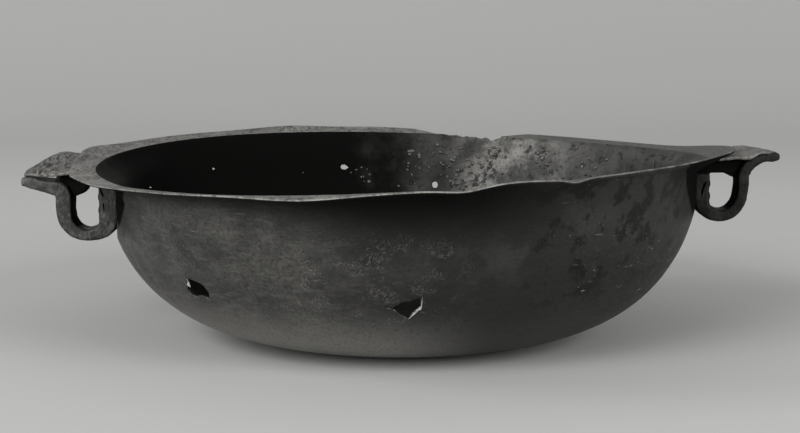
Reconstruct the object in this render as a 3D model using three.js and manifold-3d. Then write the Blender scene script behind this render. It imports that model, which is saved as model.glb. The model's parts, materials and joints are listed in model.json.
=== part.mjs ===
// A hammered iron basin with a flat everted rim, two forged ring handles riveted under the rim and
// two thumb plates over them. Millimetres, +Z up. The origin is the centre of the flat foot.
import * as THREE from 'three';
import { mergeVertices } from 'three/addons/utils/BufferGeometryUtils.js';
import Module from 'manifold-3d';

// Sheet and fits
const SHEET = 1.6;
const FIT_GAP = 0.35;

// Bowl wall, from the flat foot up to the rim
const FOOT_RADIUS = 52.5;
const WALL_TOP_RADIUS = 197.5;
const RIM_HEIGHT = 117.5;
const WALL_FULLNESS = 0.77;
const WALL_RISE = 0.91;
const FLARE_OUT = 7.5;
const FLARE_HEIGHT = 26;

// Flat rim
const RIM_WIDTH = 15;
const RIM_LIFT = 1.8;
const RIM_RAGGEDNESS = 0.7;

const OPENING_RADIUS = WALL_TOP_RADIUS + FLARE_OUT;
const RIM_RADIUS = OPENING_RADIUS + RIM_WIDTH;

// How the rim has gone out of level: one slow tilt and one saddle wave
const TILT_HEIGHT = 2.5;
const TILT_TOWARDS = THREE.MathUtils.degToRad(334);
const SADDLE_HEIGHT = 4;
const SADDLE_TOWARDS = THREE.MathUtils.degToRad(130);
const RIGHT_RIM_LIFT = 6;
const RIGHT_LIFT_TOWARDS = THREE.MathUtils.degToRad(-14);
const RIGHT_LIFT_SPREAD = THREE.MathUtils.degToRad(26);
const LEFT_RIM_TWIST = 4;
const LEFT_TWIST_SPREAD = THREE.MathUtils.degToRad(9);

// Faceting
const TURN_STEPS = 96;
const WALL_STEPS = 11;
const FLARE_STEPS = 6;

// Stretch of rim that has torn away: the flange is gone back to the wall, its ends slant, and the
// wall's edge dips towards one end
const BREAK_FROM = THREE.MathUtils.degToRad(68);
const BREAK_TO = THREE.MathUtils.degToRad(83);
const BREAK_SLANT = THREE.MathUtils.degToRad(9);
const BREAK_STUB = 1.2;
const BREAK_DIP = 2.4;
const BREAK_TEETH = 7;

// Rusted holes in the wall, each outlined round its own centre by how far across and up
const HOLE_TOOL_DEPTH = 24;
const HOLES = [
  {
    azimuth: 226.6,
    height: 52.5,
    outline: [
      [-4.4, 6.5], [3.1, 5.5], [8, 3.5], [9.4, -0.9],
      [7, -5.3], [-0.6, -4], [-5.3, -5.5], [-10, -0.8],
    ],
  },
  {
    azimuth: 270.3,
    height: 48.6,
    outline: [
      [-11.6, 0.8], [-6.4, 0.2], [-1.2, 3.5], [10, 6.5],
      [9.2, 0.1], [4.9, -3.7], [2.4, -7.4], [-5.3, -1.9],
    ],
  },
  {
    azimuth: 82.3,
    height: 78.2,
    outline: [[-2.3, 0.4], [-1.4, 2.2], [0.6, 2.6], [2.4, 1.2], [2.3, -1.2], [0.7, -2.5], [-1.6, -2]],
  },
  {
    azimuth: 103.3,
    height: 91,
    outline: [[-3.7, -0.7], [-2.5, 0.9], [-0.7, 2], [1.8, 1.8], [2.8, 0.3], [1.8, -1.4], [-0.8, -2.1]],
  },
];

// Handles: a forged bar bent into a ring under the rim and drawn out into a beak past the ring.
// Heights are measured down from the rim's level. The wall is pressed in where the ring's inner
// leg sits on it.
const LEFT_HANDLE = {
  side: -1,
  pressedIn: 7.9,
  seatTop: 17,
  wallLeg: 12.9,
  gap: 17.5,
  outerLeg: 11,
  gapTopAtWall: 15,
  gapTopMiddle: 19.2,
  gapTopOutside: 25,
  gapBottom: 46.8,
  shoulder: 21.5,
  ringBottom: 54.4,
  outerTurn: 35,
  wallTurn: 41,
  beakLength: 22.5,
  beakTop: 10.8,
  beakThick: 8.2,
  beakDip: 2.4,
  bridgeAtWall: 10.5,
  bridgeOutside: 22,
  rivets: [26, 35],
};
const RIGHT_HANDLE = {
  side: 1,
  pressedIn: 2.9,
  seatTop: 9,
  wallLeg: 10.4,
  gap: 18,
  outerLeg: 7.9,
  gapTopAtWall: 9.1,
  gapTopMiddle: 9.9,
  gapTopOutside: 12.4,
  gapBottom: 33.8,
  shoulder: 7.6,
  ringBottom: 41.4,
  outerTurn: 18,
  wallTurn: 28,
  beakLength: 19.8,
  beakTop: -5.4,
  beakThick: 7,
  beakDip: 0.2,
  bridgeAtWall: 9,
  bridgeOutside: 21,
  rivets: [16.4, 25.2],
};
const HANDLE_DEPTH = 20;
const BRIDGE_DEPTH = 12;
const HANDLE_EDGE = 1.6;
const CORNER_CUT = 0.35;
const RING_STEPS = 44;
const BRIDGE_STEPS = 12;
const SEAT_HALF_TURN = THREE.MathUtils.degToRad(20);
const SEAT_FADE_TURN = THREE.MathUtils.degToRad(14);

// Thumb plates: hammered tongues whose roots lie under the rim. Each long edge is given by its
// places along Y with heights above the rim's level, and by how far each is past the rim's edge.
const PLATE_THICK = 2.4;
const PLATE_ROOT_IN = 12;
const PLATE_STEPS = 14;
const PLATE_ACROSS = 6;
const LEFT_PLATE = {
  side: -1,
  front: [[-20, 0], [-15, -7.4], [-12.5, -9.2], [-7, -9]],
  back: [[37, 0], [33, 0.8], [27, 2.2], [4, -8.2]],
  past: [2, 15, 32],
  backPast: [1, 13, 32.5],
};
const RIGHT_PLATE = {
  side: 1,
  front: [[-22, 0], [-15, 3.1], [-13.5, 3], [-10.5, 5.9], [-7, 4.4]],
  back: [[34, 0], [30, 5.2], [28, 6.4], [20, 6.3], [9, 4.2]],
  past: [2, 11, 18, 29],
  backPast: [1, 10, 18, 30],
};

// Rivets
const RIVET_SHANK = 2.2;
const RIVET_HEAD = 3.6;
const RIVET_HEAD_RISE = 1.3;
const RIVET_STEPS = 16;

const ironBody = new THREE.MeshStandardMaterial({ color: 0x2e2d2a, roughness: 0.62, metalness: 0.75 });
const ironForged = new THREE.MeshStandardMaterial({ color: 0x3a3834, roughness: 0.58, metalness: 0.8 });
const ironPlate = new THREE.MeshStandardMaterial({ color: 0x55534d, roughness: 0.66, metalness: 0.7 });
const ironRivet = new THREE.MeshStandardMaterial({ color: 0x45433f, roughness: 0.5, metalness: 0.85 });

const wasm = await Module();
wasm.setup();

// Solids

function solidOf(geometry) {
  const plain = geometry.index ? geometry.toNonIndexed() : geometry.clone();
  plain.deleteAttribute('normal');
  plain.deleteAttribute('uv');
  const merged = mergeVertices(plain, 1e-3);
  const index = merged.index.array;
  const corners = [];
  for (let i = 0; i < index.length; i += 3) {
    const [a, b, c] = [index[i], index[i + 1], index[i + 2]];
    if (a !== b && b !== c && c !== a) corners.push(a, b, c);
  }
  const vertProperties = new Float32Array(merged.attributes.position.array);
  const triVerts = new Uint32Array(corners);
  return new wasm.Manifold(new wasm.Mesh({ numProp: 3, vertProperties, triVerts }));
}

// Turns a closed geometry into a solid, inside faces out where its mapping mirrored it
function toSolid(geometry) {
  const solid = solidOf(geometry);
  return solid.volume() > 0 ? solid : solidOf(turnFaces(geometry));
}

function turnFaces(geometry) {
  const index = geometry.index;
  for (let i = 0; i < index.count; i += 3) {
    const first = index.getX(i);
    index.setX(i, index.getX(i + 1));
    index.setX(i + 1, first);
  }
  return geometry;
}

function toGeometry(solid) {
  const mesh = solid.getMesh();
  const geometry = new THREE.BufferGeometry();
  geometry.setAttribute('position', new THREE.BufferAttribute(new Float32Array(mesh.vertProperties), 3));
  geometry.setIndex(Array.from(mesh.triVerts));
  geometry.computeVertexNormals();
  return geometry;
}

function movePoints(geometry, move) {
  const position = geometry.attributes.position;
  const point = new THREE.Vector3();
  for (let i = 0; i < position.count; i += 1) {
    point.fromBufferAttribute(position, i);
    move(point);
    position.setXYZ(i, point.x, point.y, point.z);
  }
  return geometry;
}

// The bowl's wall

const bell = (away, spread) => Math.exp(-0.5 * (away / spread) ** 2);

function turnAway(azimuth, from) {
  return Math.atan2(Math.sin(azimuth - from), Math.cos(azimuth - from));
}

function rimRise(azimuth) {
  const tilt = TILT_HEIGHT * Math.cos(azimuth - TILT_TOWARDS);
  const saddle = SADDLE_HEIGHT * Math.cos(2 * (azimuth - SADDLE_TOWARDS));
  return tilt + saddle;
}

function rimLift(azimuth) {
  const right = RIGHT_RIM_LIFT * bell(turnAway(azimuth, RIGHT_LIFT_TOWARDS), RIGHT_LIFT_SPREAD);
  const away = turnAway(azimuth, Math.PI) / LEFT_TWIST_SPREAD;
  const left = -LEFT_RIM_TWIST * away * Math.exp(0.5 - 0.5 * away * away);
  return RIM_LIFT + right + left;
}

function flareAt(height) {
  const share = Math.max(0, (height - (RIM_HEIGHT - FLARE_HEIGHT)) / FLARE_HEIGHT);
  return FLARE_OUT * share * share;
}

function wallRadius(height) {
  const fall = Math.max(0, 1 - height / RIM_HEIGHT) ** (1 / WALL_RISE);
  const fullness = Math.sqrt(Math.max(0, 1 - fall * fall)) ** WALL_FULLNESS;
  return FOOT_RADIUS + (WALL_TOP_RADIUS - FOOT_RADIUS) * fullness + flareAt(height);
}

// Heights of the wall's rings, close together where the wall flares into the rim
function wallHeights() {
  const heights = [];
  const flareStart = RIM_HEIGHT - FLARE_HEIGHT;
  const lastTurn = Math.acos((1 - flareStart / RIM_HEIGHT) ** (1 / WALL_RISE));
  for (let i = 0; i <= WALL_STEPS; i += 1) {
    heights.push(RIM_HEIGHT * (1 - Math.cos((lastTurn * i) / WALL_STEPS) ** WALL_RISE));
  }
  for (let i = 1; i <= FLARE_STEPS; i += 1) {
    heights.push(flareStart + ((FLARE_HEIGHT - SHEET) * i) / FLARE_STEPS);
  }
  return heights;
}

// A ring of the wall moved off its outer face along the wall's own normal
function offWall(height, distance) {
  const step = 0.05;
  const low = Math.max(height - step, 0);
  const high = Math.min(height + step, RIM_HEIGHT - SHEET);
  const slope = new THREE.Vector2(wallRadius(high) - wallRadius(low), high - low).normalize();
  return new THREE.Vector2(wallRadius(height) + slope.y * distance, height - slope.x * distance);
}

const seatRadius = (handle) => WALL_TOP_RADIUS - handle.pressedIn;

const smooth = (value, from, to) => THREE.MathUtils.smoothstep(value, Math.min(from, to), Math.max(from, to));

// How far the wall is hammered in round a handle, so that the ring's wall leg seats on it
function seatPress(azimuth, handle, height) {
  const away = Math.abs(turnAway(azimuth, handle.side < 0 ? Math.PI : 0));
  const across = 1 - smooth(away, SEAT_HALF_TURN, SEAT_HALF_TURN + SEAT_FADE_TURN);
  const below = 1 - smooth(height, RIM_HEIGHT - handle.seatTop, RIM_HEIGHT - SHEET);
  return across * below * Math.max(0, wallRadius(Math.min(height, RIM_HEIGHT)) - seatRadius(handle));
}

function warpBowl(point) {
  const height = point.z;
  const radius = Math.hypot(point.x, point.y);
  const azimuth = Math.atan2(point.y, point.x);
  const onRim = THREE.MathUtils.clamp((radius - OPENING_RADIUS) / RIM_WIDTH, 0, 1.1);
  const ragged = RIM_RAGGEDNESS * onRim * (Math.sin(7 * azimuth + 1) + Math.sin(16 * azimuth) * 0.6);
  const pressed = seatPress(azimuth, LEFT_HANDLE, height) + seatPress(azimuth, RIGHT_HANDLE, height);
  const outwards = radius < OPENING_RADIUS ? -pressed : ragged;
  const share = THREE.MathUtils.clamp(height / RIM_HEIGHT, 0, 1);
  if (radius > 0) {
    point.x *= 1 + outwards / radius;
    point.y *= 1 + outwards / radius;
  }
  point.z += share * share * rimRise(azimuth) + onRim * rimLift(azimuth);
}

// The outer face of the wall and the under face of the rim, moved out by a clearance
function outsideProfile(clearance) {
  const rings = wallHeights().map((height) => offWall(height, clearance));
  rings[0].set(FOOT_RADIUS, -clearance);
  rings.unshift(new THREE.Vector2(0, -clearance));
  const rimUnder = RIM_HEIGHT - SHEET - clearance;
  rings[rings.length - 1].y = rimUnder;
  rings.push(new THREE.Vector2((OPENING_RADIUS + RIM_RADIUS) / 2, rimUnder));
  rings.push(new THREE.Vector2(RIM_RADIUS + clearance, rimUnder));
  rings.push(new THREE.Vector2(RIM_RADIUS + clearance, RIM_HEIGHT + clearance));
  rings.push(new THREE.Vector2((OPENING_RADIUS + RIM_RADIUS) / 2, RIM_HEIGHT + clearance));
  return rings;
}

function insideProfile() {
  const rings = wallHeights().map((height) => offWall(height, -SHEET)).reverse();
  rings[0].y = RIM_HEIGHT;
  rings[rings.length - 1].set(FOOT_RADIUS, SHEET);
  rings.push(new THREE.Vector2(0, SHEET));
  return rings;
}

function revolve(profile) {
  const turned = new THREE.LatheGeometry(profile, TURN_STEPS).rotateX(Math.PI / 2);
  return movePoints(turned, warpBowl);
}

// Everything that the bowl fills, walls and hollow together, with a clearance around it
function bowlSpace(clearance) {
  const profile = outsideProfile(clearance);
  profile.push(new THREE.Vector2(0, RIM_HEIGHT + clearance));
  return toSolid(revolve(profile));
}

// An outline given depth, half of it on each side of the plane in which it is drawn
function slab(outline, depth) {
  const drawn = new THREE.Shape(outline);
  return new THREE.ExtrudeGeometry(drawn, { depth, bevelEnabled: false }).translate(0, 0, -depth / 2);
}

// Turns a tool drawn upright so that it points outwards at an azimuth
function pointOutwards(geometry, azimuth, radius, height) {
  geometry.rotateX(Math.PI / 2).rotateZ(azimuth + Math.PI / 2);
  return geometry.translate(radius * Math.cos(azimuth), radius * Math.sin(azimuth), height);
}

function holeTool(hole) {
  const azimuth = THREE.MathUtils.degToRad(hole.azimuth);
  const tool = slab(hole.outline.map(([across, up]) => new THREE.Vector2(across, up)), HOLE_TOOL_DEPTH);
  return toSolid(pointOutwards(tool, azimuth, wallRadius(hole.height), hole.height));
}

// Places along the break, each with its azimuth and whether it is the tip of a tooth
function breakStations() {
  return Array.from({ length: BREAK_TEETH + 1 }, (unused, i) => {
    const along = i / BREAK_TEETH;
    return { along, azimuth: THREE.MathUtils.lerp(BREAK_FROM, BREAK_TO, along), tooth: i % 2 === 1 };
  });
}

// Takes the flange off in plan, back to a ragged stub on the wall
function tornRimTool() {
  const beyond = RIM_RADIUS + RIM_WIDTH;
  const inPlan = (azimuth, radius) => new THREE.Vector2(radius, 0).rotateAround(new THREE.Vector2(), azimuth);
  const outline = breakStations().map(({ azimuth, tooth }) => (
    inPlan(azimuth, OPENING_RADIUS + (tooth ? 1.6 : 0.4) * BREAK_STUB)
  ));
  outline.unshift(inPlan(BREAK_FROM - BREAK_SLANT, beyond));
  outline.push(inPlan(BREAK_TO + BREAK_SLANT, beyond));
  return toSolid(slab(outline, 2 * RIM_WIDTH).translate(0, 0, RIM_HEIGHT));
}

// Takes the wall's edge down to a jagged line
function tornEdgeTool() {
  const halfWidth = OPENING_RADIUS * Math.sin((BREAK_TO - BREAK_FROM) / 2);
  const outline = breakStations().map(({ along, azimuth, tooth }) => {
    const dip = BREAK_DIP * (1 - along) * (tooth ? 1.3 : 0.8);
    return new THREE.Vector2(halfWidth * (2 * along - 1), rimRise(azimuth) - dip);
  });
  outline.unshift(new THREE.Vector2(-halfWidth, RIM_WIDTH));
  outline.push(new THREE.Vector2(halfWidth, RIM_WIDTH));
  const tool = slab(outline, 2 * RIM_WIDTH);
  return toSolid(pointOutwards(tool, (BREAK_FROM + BREAK_TO) / 2, OPENING_RADIUS, RIM_HEIGHT));
}

// Handles

// A forged bar: its section is drawn along a run of stations in the plane of the handle. Each
// station holds the reach from the bowl's axis, the bar's thickness and the height.
function forgedBar(stations, steps, depth) {
  const run = new THREE.CatmullRomCurve3(stations);
  const bar = new THREE.BoxGeometry(1, 1, 1, steps, 3, 3);
  const inFromEdge = (place, size) => {
    const shares = [-0.5, HANDLE_EDGE / size - 0.5, 0.5 - HANDLE_EDGE / size, 0.5];
    return shares[Math.round((place + 0.5) * 3)] * size;
  };
  return movePoints(bar, (point) => {
    const along = point.x + 0.5;
    const centre = run.getPoint(along);
    const heading = run.getTangent(along);
    const across = new THREE.Vector2(-heading.z, heading.x).normalize();
    const atCorner = Math.abs(point.y) > 0.4 && Math.abs(point.z) > 0.4 ? CORNER_CUT * HANDLE_EDGE : 0;
    const deep = inFromEdge(point.y, depth) - Math.sign(point.y) * atCorner;
    const off = inFromEdge(point.z, centre.y) - Math.sign(point.z) * atCorner;
    point.set(centre.x + across.x * off, deep, centre.z + across.y * off);
  });
}

function station(reach, thick, depth) {
  return new THREE.Vector3(reach, thick, RIM_HEIGHT - depth);
}

// Stations round a quarter of an ellipse, without its last one
function bend(centre, size, from, thickFrom, thickTo) {
  return [0, 1, 2].map((i) => {
    const turn = from + (i * Math.PI) / 6;
    const thick = THREE.MathUtils.lerp(thickFrom, thickTo, i / 3);
    return station(centre.x + size.x * Math.cos(turn), thick, centre.y + size.y * Math.sin(turn));
  });
}

// The bar runs in from the tip of the beak, down the outer leg, round and up the wall leg
function ringStations(handle) {
  const wallCentre = seatRadius(handle) + handle.wallLeg / 2;
  const outerCentre = seatRadius(handle) + handle.wallLeg + handle.gap + handle.outerLeg / 2;
  const outside = outerCentre + handle.outerLeg / 2;
  const middle = (wallCentre + outerCentre) / 2;
  const beak = handle.beakTop + handle.beakThick / 2;
  const bottom = (handle.gapBottom + handle.ringBottom) / 2;
  const bottomThick = handle.ringBottom - handle.gapBottom;
  const outerBend = new THREE.Vector2(outerCentre - middle, bottom - handle.outerTurn);
  const wallBend = new THREE.Vector2(middle - wallCentre, bottom - handle.wallTurn);
  return [
    station(outside + handle.beakLength, 0.62 * handle.beakThick, beak),
    station(outside + 0.8 * handle.beakLength, 0.95 * handle.beakThick, beak),
    station(outside + 0.42 * handle.beakLength, handle.beakThick, beak + handle.beakDip),
    station(outerCentre + 0.1 * handle.outerLeg, handle.outerLeg, handle.shoulder),
    ...bend(new THREE.Vector2(middle, handle.outerTurn), outerBend, 0, handle.outerLeg, bottomThick),
    ...bend(new THREE.Vector2(middle, handle.wallTurn), wallBend, Math.PI / 2, bottomThick, handle.wallLeg),
    station(wallCentre, handle.wallLeg, handle.wallTurn),
    station(wallCentre, handle.wallLeg, handle.gapTopAtWall),
  ];
}

// The bridge closes the ring under the rim: it is thin at the wall and thick under the plate
function bridgeStations(handle) {
  const { wallLeg, gap, outerLeg, bridgeAtWall, bridgeOutside } = handle;
  const wallLegEdge = seatRadius(handle) + wallLeg;
  const bridgeMiddle = (bridgeAtWall + bridgeOutside) / 2;
  const overGap = (reach, thick, underside) => station(reach, thick, underside - thick / 2);
  return [
    overGap(wallLegEdge + gap + outerLeg, bridgeOutside, handle.gapTopOutside - 0.1 * gap),
    overGap(wallLegEdge + 0.95 * gap, bridgeOutside, handle.gapTopOutside),
    overGap(wallLegEdge + 0.55 * gap, bridgeMiddle, handle.gapTopMiddle),
    overGap(wallLegEdge, bridgeAtWall, handle.gapTopAtWall),
    overGap(seatRadius(handle) - SHEET, bridgeAtWall, handle.gapTopAtWall - 0.1 * gap),
  ];
}

function toSide(geometry, side) {
  return side < 0 ? geometry.rotateZ(Math.PI) : geometry;
}

function handleBlank(handle) {
  const ring = forgedBar(ringStations(handle), RING_STEPS, HANDLE_DEPTH);
  const bridge = forgedBar(bridgeStations(handle), BRIDGE_STEPS, BRIDGE_DEPTH);
  return toSolid(toSide(ring, handle.side)).add(toSolid(toSide(bridge, handle.side)));
}

// Thumb plates

// Height of the rim's under face over a point of the plan
function rimUnderside(x, y) {
  const under = new THREE.Vector3(x, y, RIM_HEIGHT - SHEET);
  warpBowl(under);
  return under.z;
}

// One long edge of a plate: its root lies under the rim and the rest is free
function plateEdge(edge, past, side) {
  const stations = [-PLATE_ROOT_IN, ...past].map((distance) => RIM_RADIUS + distance);
  const points = stations.map((reach, i) => {
    const [along, height] = edge[i];
    const root = rimUnderside(side * reach, along) - FIT_GAP;
    return new THREE.Vector3(side * reach, along, (i === 0 ? root : RIM_HEIGHT + height));
  });
  return new THREE.CatmullRomCurve3(points);
}

// A plate between its two edges, from a lower face up to an upper one
function plateBlank(plate, lower, upper, widen) {
  const front = plateEdge(plate.front, plate.past, plate.side);
  const back = plateEdge(plate.back, plate.backPast, plate.side);
  const sheet = new THREE.BoxGeometry(1, 1, 1, PLATE_STEPS, PLATE_ACROSS, 1);
  movePoints(sheet, (point) => {
    const along = point.x + 0.5;
    const across = (point.y + 0.5) * (1 + 2 * widen) - widen;
    const place = front.getPoint(along).lerp(back.getPoint(along), across);
    point.set(place.x, place.y, place.z + (point.z < 0 ? lower : upper));
  });
  return toSolid(sheet);
}

// Rivets

// A rivet's section along its own axis, with a clearance all round
function rivetProfile(length, clearance) {
  const head = RIVET_HEAD + clearance;
  const rise = RIVET_HEAD_RISE + clearance;
  const shank = RIVET_SHANK + clearance;
  return [
    new THREE.Vector2(0, -rise),
    new THREE.Vector2(0.7 * head, -0.7 * rise),
    new THREE.Vector2(head, clearance),
    new THREE.Vector2(shank, clearance),
    new THREE.Vector2(shank, length - clearance),
    new THREE.Vector2(head, length - clearance),
    new THREE.Vector2(0.7 * head, length + 0.7 * rise),
    new THREE.Vector2(0, length + rise),
  ];
}

// A rivet through the wall and the wall leg of a handle, at a depth below the rim
function rivet(handle, depth, clearance) {
  const start = seatRadius(handle) - SHEET - 2 * FIT_GAP;
  const length = handle.wallLeg + SHEET + 3 * FIT_GAP;
  const body = new THREE.LatheGeometry(rivetProfile(length, clearance), RIVET_STEPS).rotateZ(-Math.PI / 2);
  return toSide(body.translate(start, 0, RIM_HEIGHT - depth), handle.side);
}

// Assembly

const basin = new THREE.Group();
basin.name = 'iron_basin';

function addPiece(name, geometry, material) {
  const piece = new THREE.Mesh(geometry, material);
  piece.name = name;
  basin.add(piece);
}

function cutAll(solid, tools) {
  return tools.reduce((left, tool) => left.subtract(tool), solid);
}

const rivetHoles = [LEFT_HANDLE, RIGHT_HANDLE].flatMap((handle) => (
  handle.rivets.map((depth) => toSolid(rivet(handle, depth, FIT_GAP)))
));
const bowl = toSolid(revolve([...outsideProfile(0), ...insideProfile()]));
const bowlTools = [...HOLES.map(holeTool), tornRimTool(), tornEdgeTool(), ...rivetHoles];
addPiece('bowl_shell', toGeometry(cutAll(bowl, bowlTools)), ironBody);

const clearOfBowl = bowlSpace(FIT_GAP);
const sides = [
  { name: 'left', handle: LEFT_HANDLE, plate: LEFT_PLATE },
  { name: 'right', handle: RIGHT_HANDLE, plate: RIGHT_PLATE },
];
for (const { name, handle, plate } of sides) {
  const sheet = plateBlank(plate, -PLATE_THICK, 0, 0);
  addPiece(`${name}_thumb_plate`, toGeometry(sheet.subtract(clearOfBowl)), ironPlate);
  const overPlate = plateBlank(plate, -PLATE_THICK - FIT_GAP, 12 * PLATE_THICK, 0.03);
  const bar = cutAll(handleBlank(handle), [clearOfBowl, overPlate, ...rivetHoles]);
  addPiece(`${name}_handle`, toGeometry(bar), ironForged);
  addPiece(`${name}_upper_rivet`, rivet(handle, handle.rivets[0], 0), ironRivet);
  addPiece(`${name}_lower_rivet`, rivet(handle, handle.rivets[1], 0), ironRivet);
}

export default basin;
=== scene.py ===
"""A hammered iron basin with ring handles and thumb plates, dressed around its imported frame."""

from __future__ import annotations

import json
import logging
import math
import random
from dataclasses import dataclass, field
from enum import Enum

import bmesh
import bpy
from mathutils import Matrix, Vector, noise

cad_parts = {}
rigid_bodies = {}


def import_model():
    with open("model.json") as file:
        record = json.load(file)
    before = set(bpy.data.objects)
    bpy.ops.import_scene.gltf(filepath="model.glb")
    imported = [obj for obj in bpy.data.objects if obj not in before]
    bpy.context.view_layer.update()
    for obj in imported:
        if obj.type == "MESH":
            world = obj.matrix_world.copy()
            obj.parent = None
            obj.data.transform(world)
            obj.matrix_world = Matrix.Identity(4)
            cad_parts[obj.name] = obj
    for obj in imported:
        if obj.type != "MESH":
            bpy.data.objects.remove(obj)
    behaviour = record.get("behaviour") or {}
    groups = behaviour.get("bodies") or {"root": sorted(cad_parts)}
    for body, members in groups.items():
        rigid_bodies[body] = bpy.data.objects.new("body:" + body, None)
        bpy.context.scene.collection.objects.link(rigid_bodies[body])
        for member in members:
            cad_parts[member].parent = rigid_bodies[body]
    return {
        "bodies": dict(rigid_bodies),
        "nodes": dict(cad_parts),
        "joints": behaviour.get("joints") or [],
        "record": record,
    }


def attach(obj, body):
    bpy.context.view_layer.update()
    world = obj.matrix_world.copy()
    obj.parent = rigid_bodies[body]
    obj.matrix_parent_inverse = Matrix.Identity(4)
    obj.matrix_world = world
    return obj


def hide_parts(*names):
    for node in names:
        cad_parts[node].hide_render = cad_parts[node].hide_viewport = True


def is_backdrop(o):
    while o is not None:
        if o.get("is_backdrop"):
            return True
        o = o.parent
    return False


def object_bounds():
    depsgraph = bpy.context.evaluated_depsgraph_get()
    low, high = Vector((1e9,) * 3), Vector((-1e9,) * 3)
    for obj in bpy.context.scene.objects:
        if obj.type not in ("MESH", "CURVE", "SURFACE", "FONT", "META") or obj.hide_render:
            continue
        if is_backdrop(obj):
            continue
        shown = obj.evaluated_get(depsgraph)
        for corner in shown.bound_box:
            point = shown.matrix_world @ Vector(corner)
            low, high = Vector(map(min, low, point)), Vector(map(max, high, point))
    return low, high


LOG = logging.getLogger("iron_basin")
MM = 0.001
NOISE_SEED = 18
WELD = 0.00001

Material = bpy.types.Material
Piece = bpy.types.Object
Shape = bmesh.types.BMesh
Socket = bpy.types.NodeSocket
Tree = bpy.types.ShaderNodeTree
Outline = tuple[tuple[float, float], ...]
Span = tuple[float, float]


class Side(Enum):
    """The two sides that carry a handle."""

    LEFT = -1
    RIGHT = 1


def smooth_step(value: float, low: float, high: float) -> float:
    """Returns 0 below low, 1 above high and a smooth rise between them.

    Args:
        value: The number to place between the two ends.
        low: Where the rise starts.
        high: Where the rise ends.

    Returns:
        A share from 0 to 1.
    """
    share = min(1.0, max(0.0, (value - low) / (high - low)))
    return share * share * (3.0 - 2.0 * share)


def bell(away: float, spread: float) -> float:
    """Returns a bell curve that is 1 where away is 0."""
    return math.exp(-0.5 * (away / spread) ** 2)


def turn_away(azimuth: float, start: float) -> float:
    """Returns the signed angle from start to azimuth, in degrees from -180 to 180."""
    return (azimuth - start + 180.0) % 360.0 - 180.0


@dataclass(frozen=True)
class Bump:
    """A local rise or dent of the rim or the wall, in millimetres and degrees."""

    azimuth: float
    spread: float
    rise: float


@dataclass(frozen=True)
class Dent:
    """A dent hammered into the wall from outside, in millimetres and degrees."""

    azimuth: float
    height: float
    across: float
    tall: float
    depth: float


@dataclass(frozen=True)
class TornHole:
    """A rusted hole through the wall, in millimetres and degrees.

    Its outline is drawn round its place, with teeth as deep as its raggedness, and the cut may
    lean off the wall's own direction.
    """

    name: str
    azimuth: float
    height: float
    outline: Outline
    raggedness: float = 0.35
    lean: float = 0.0


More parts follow.
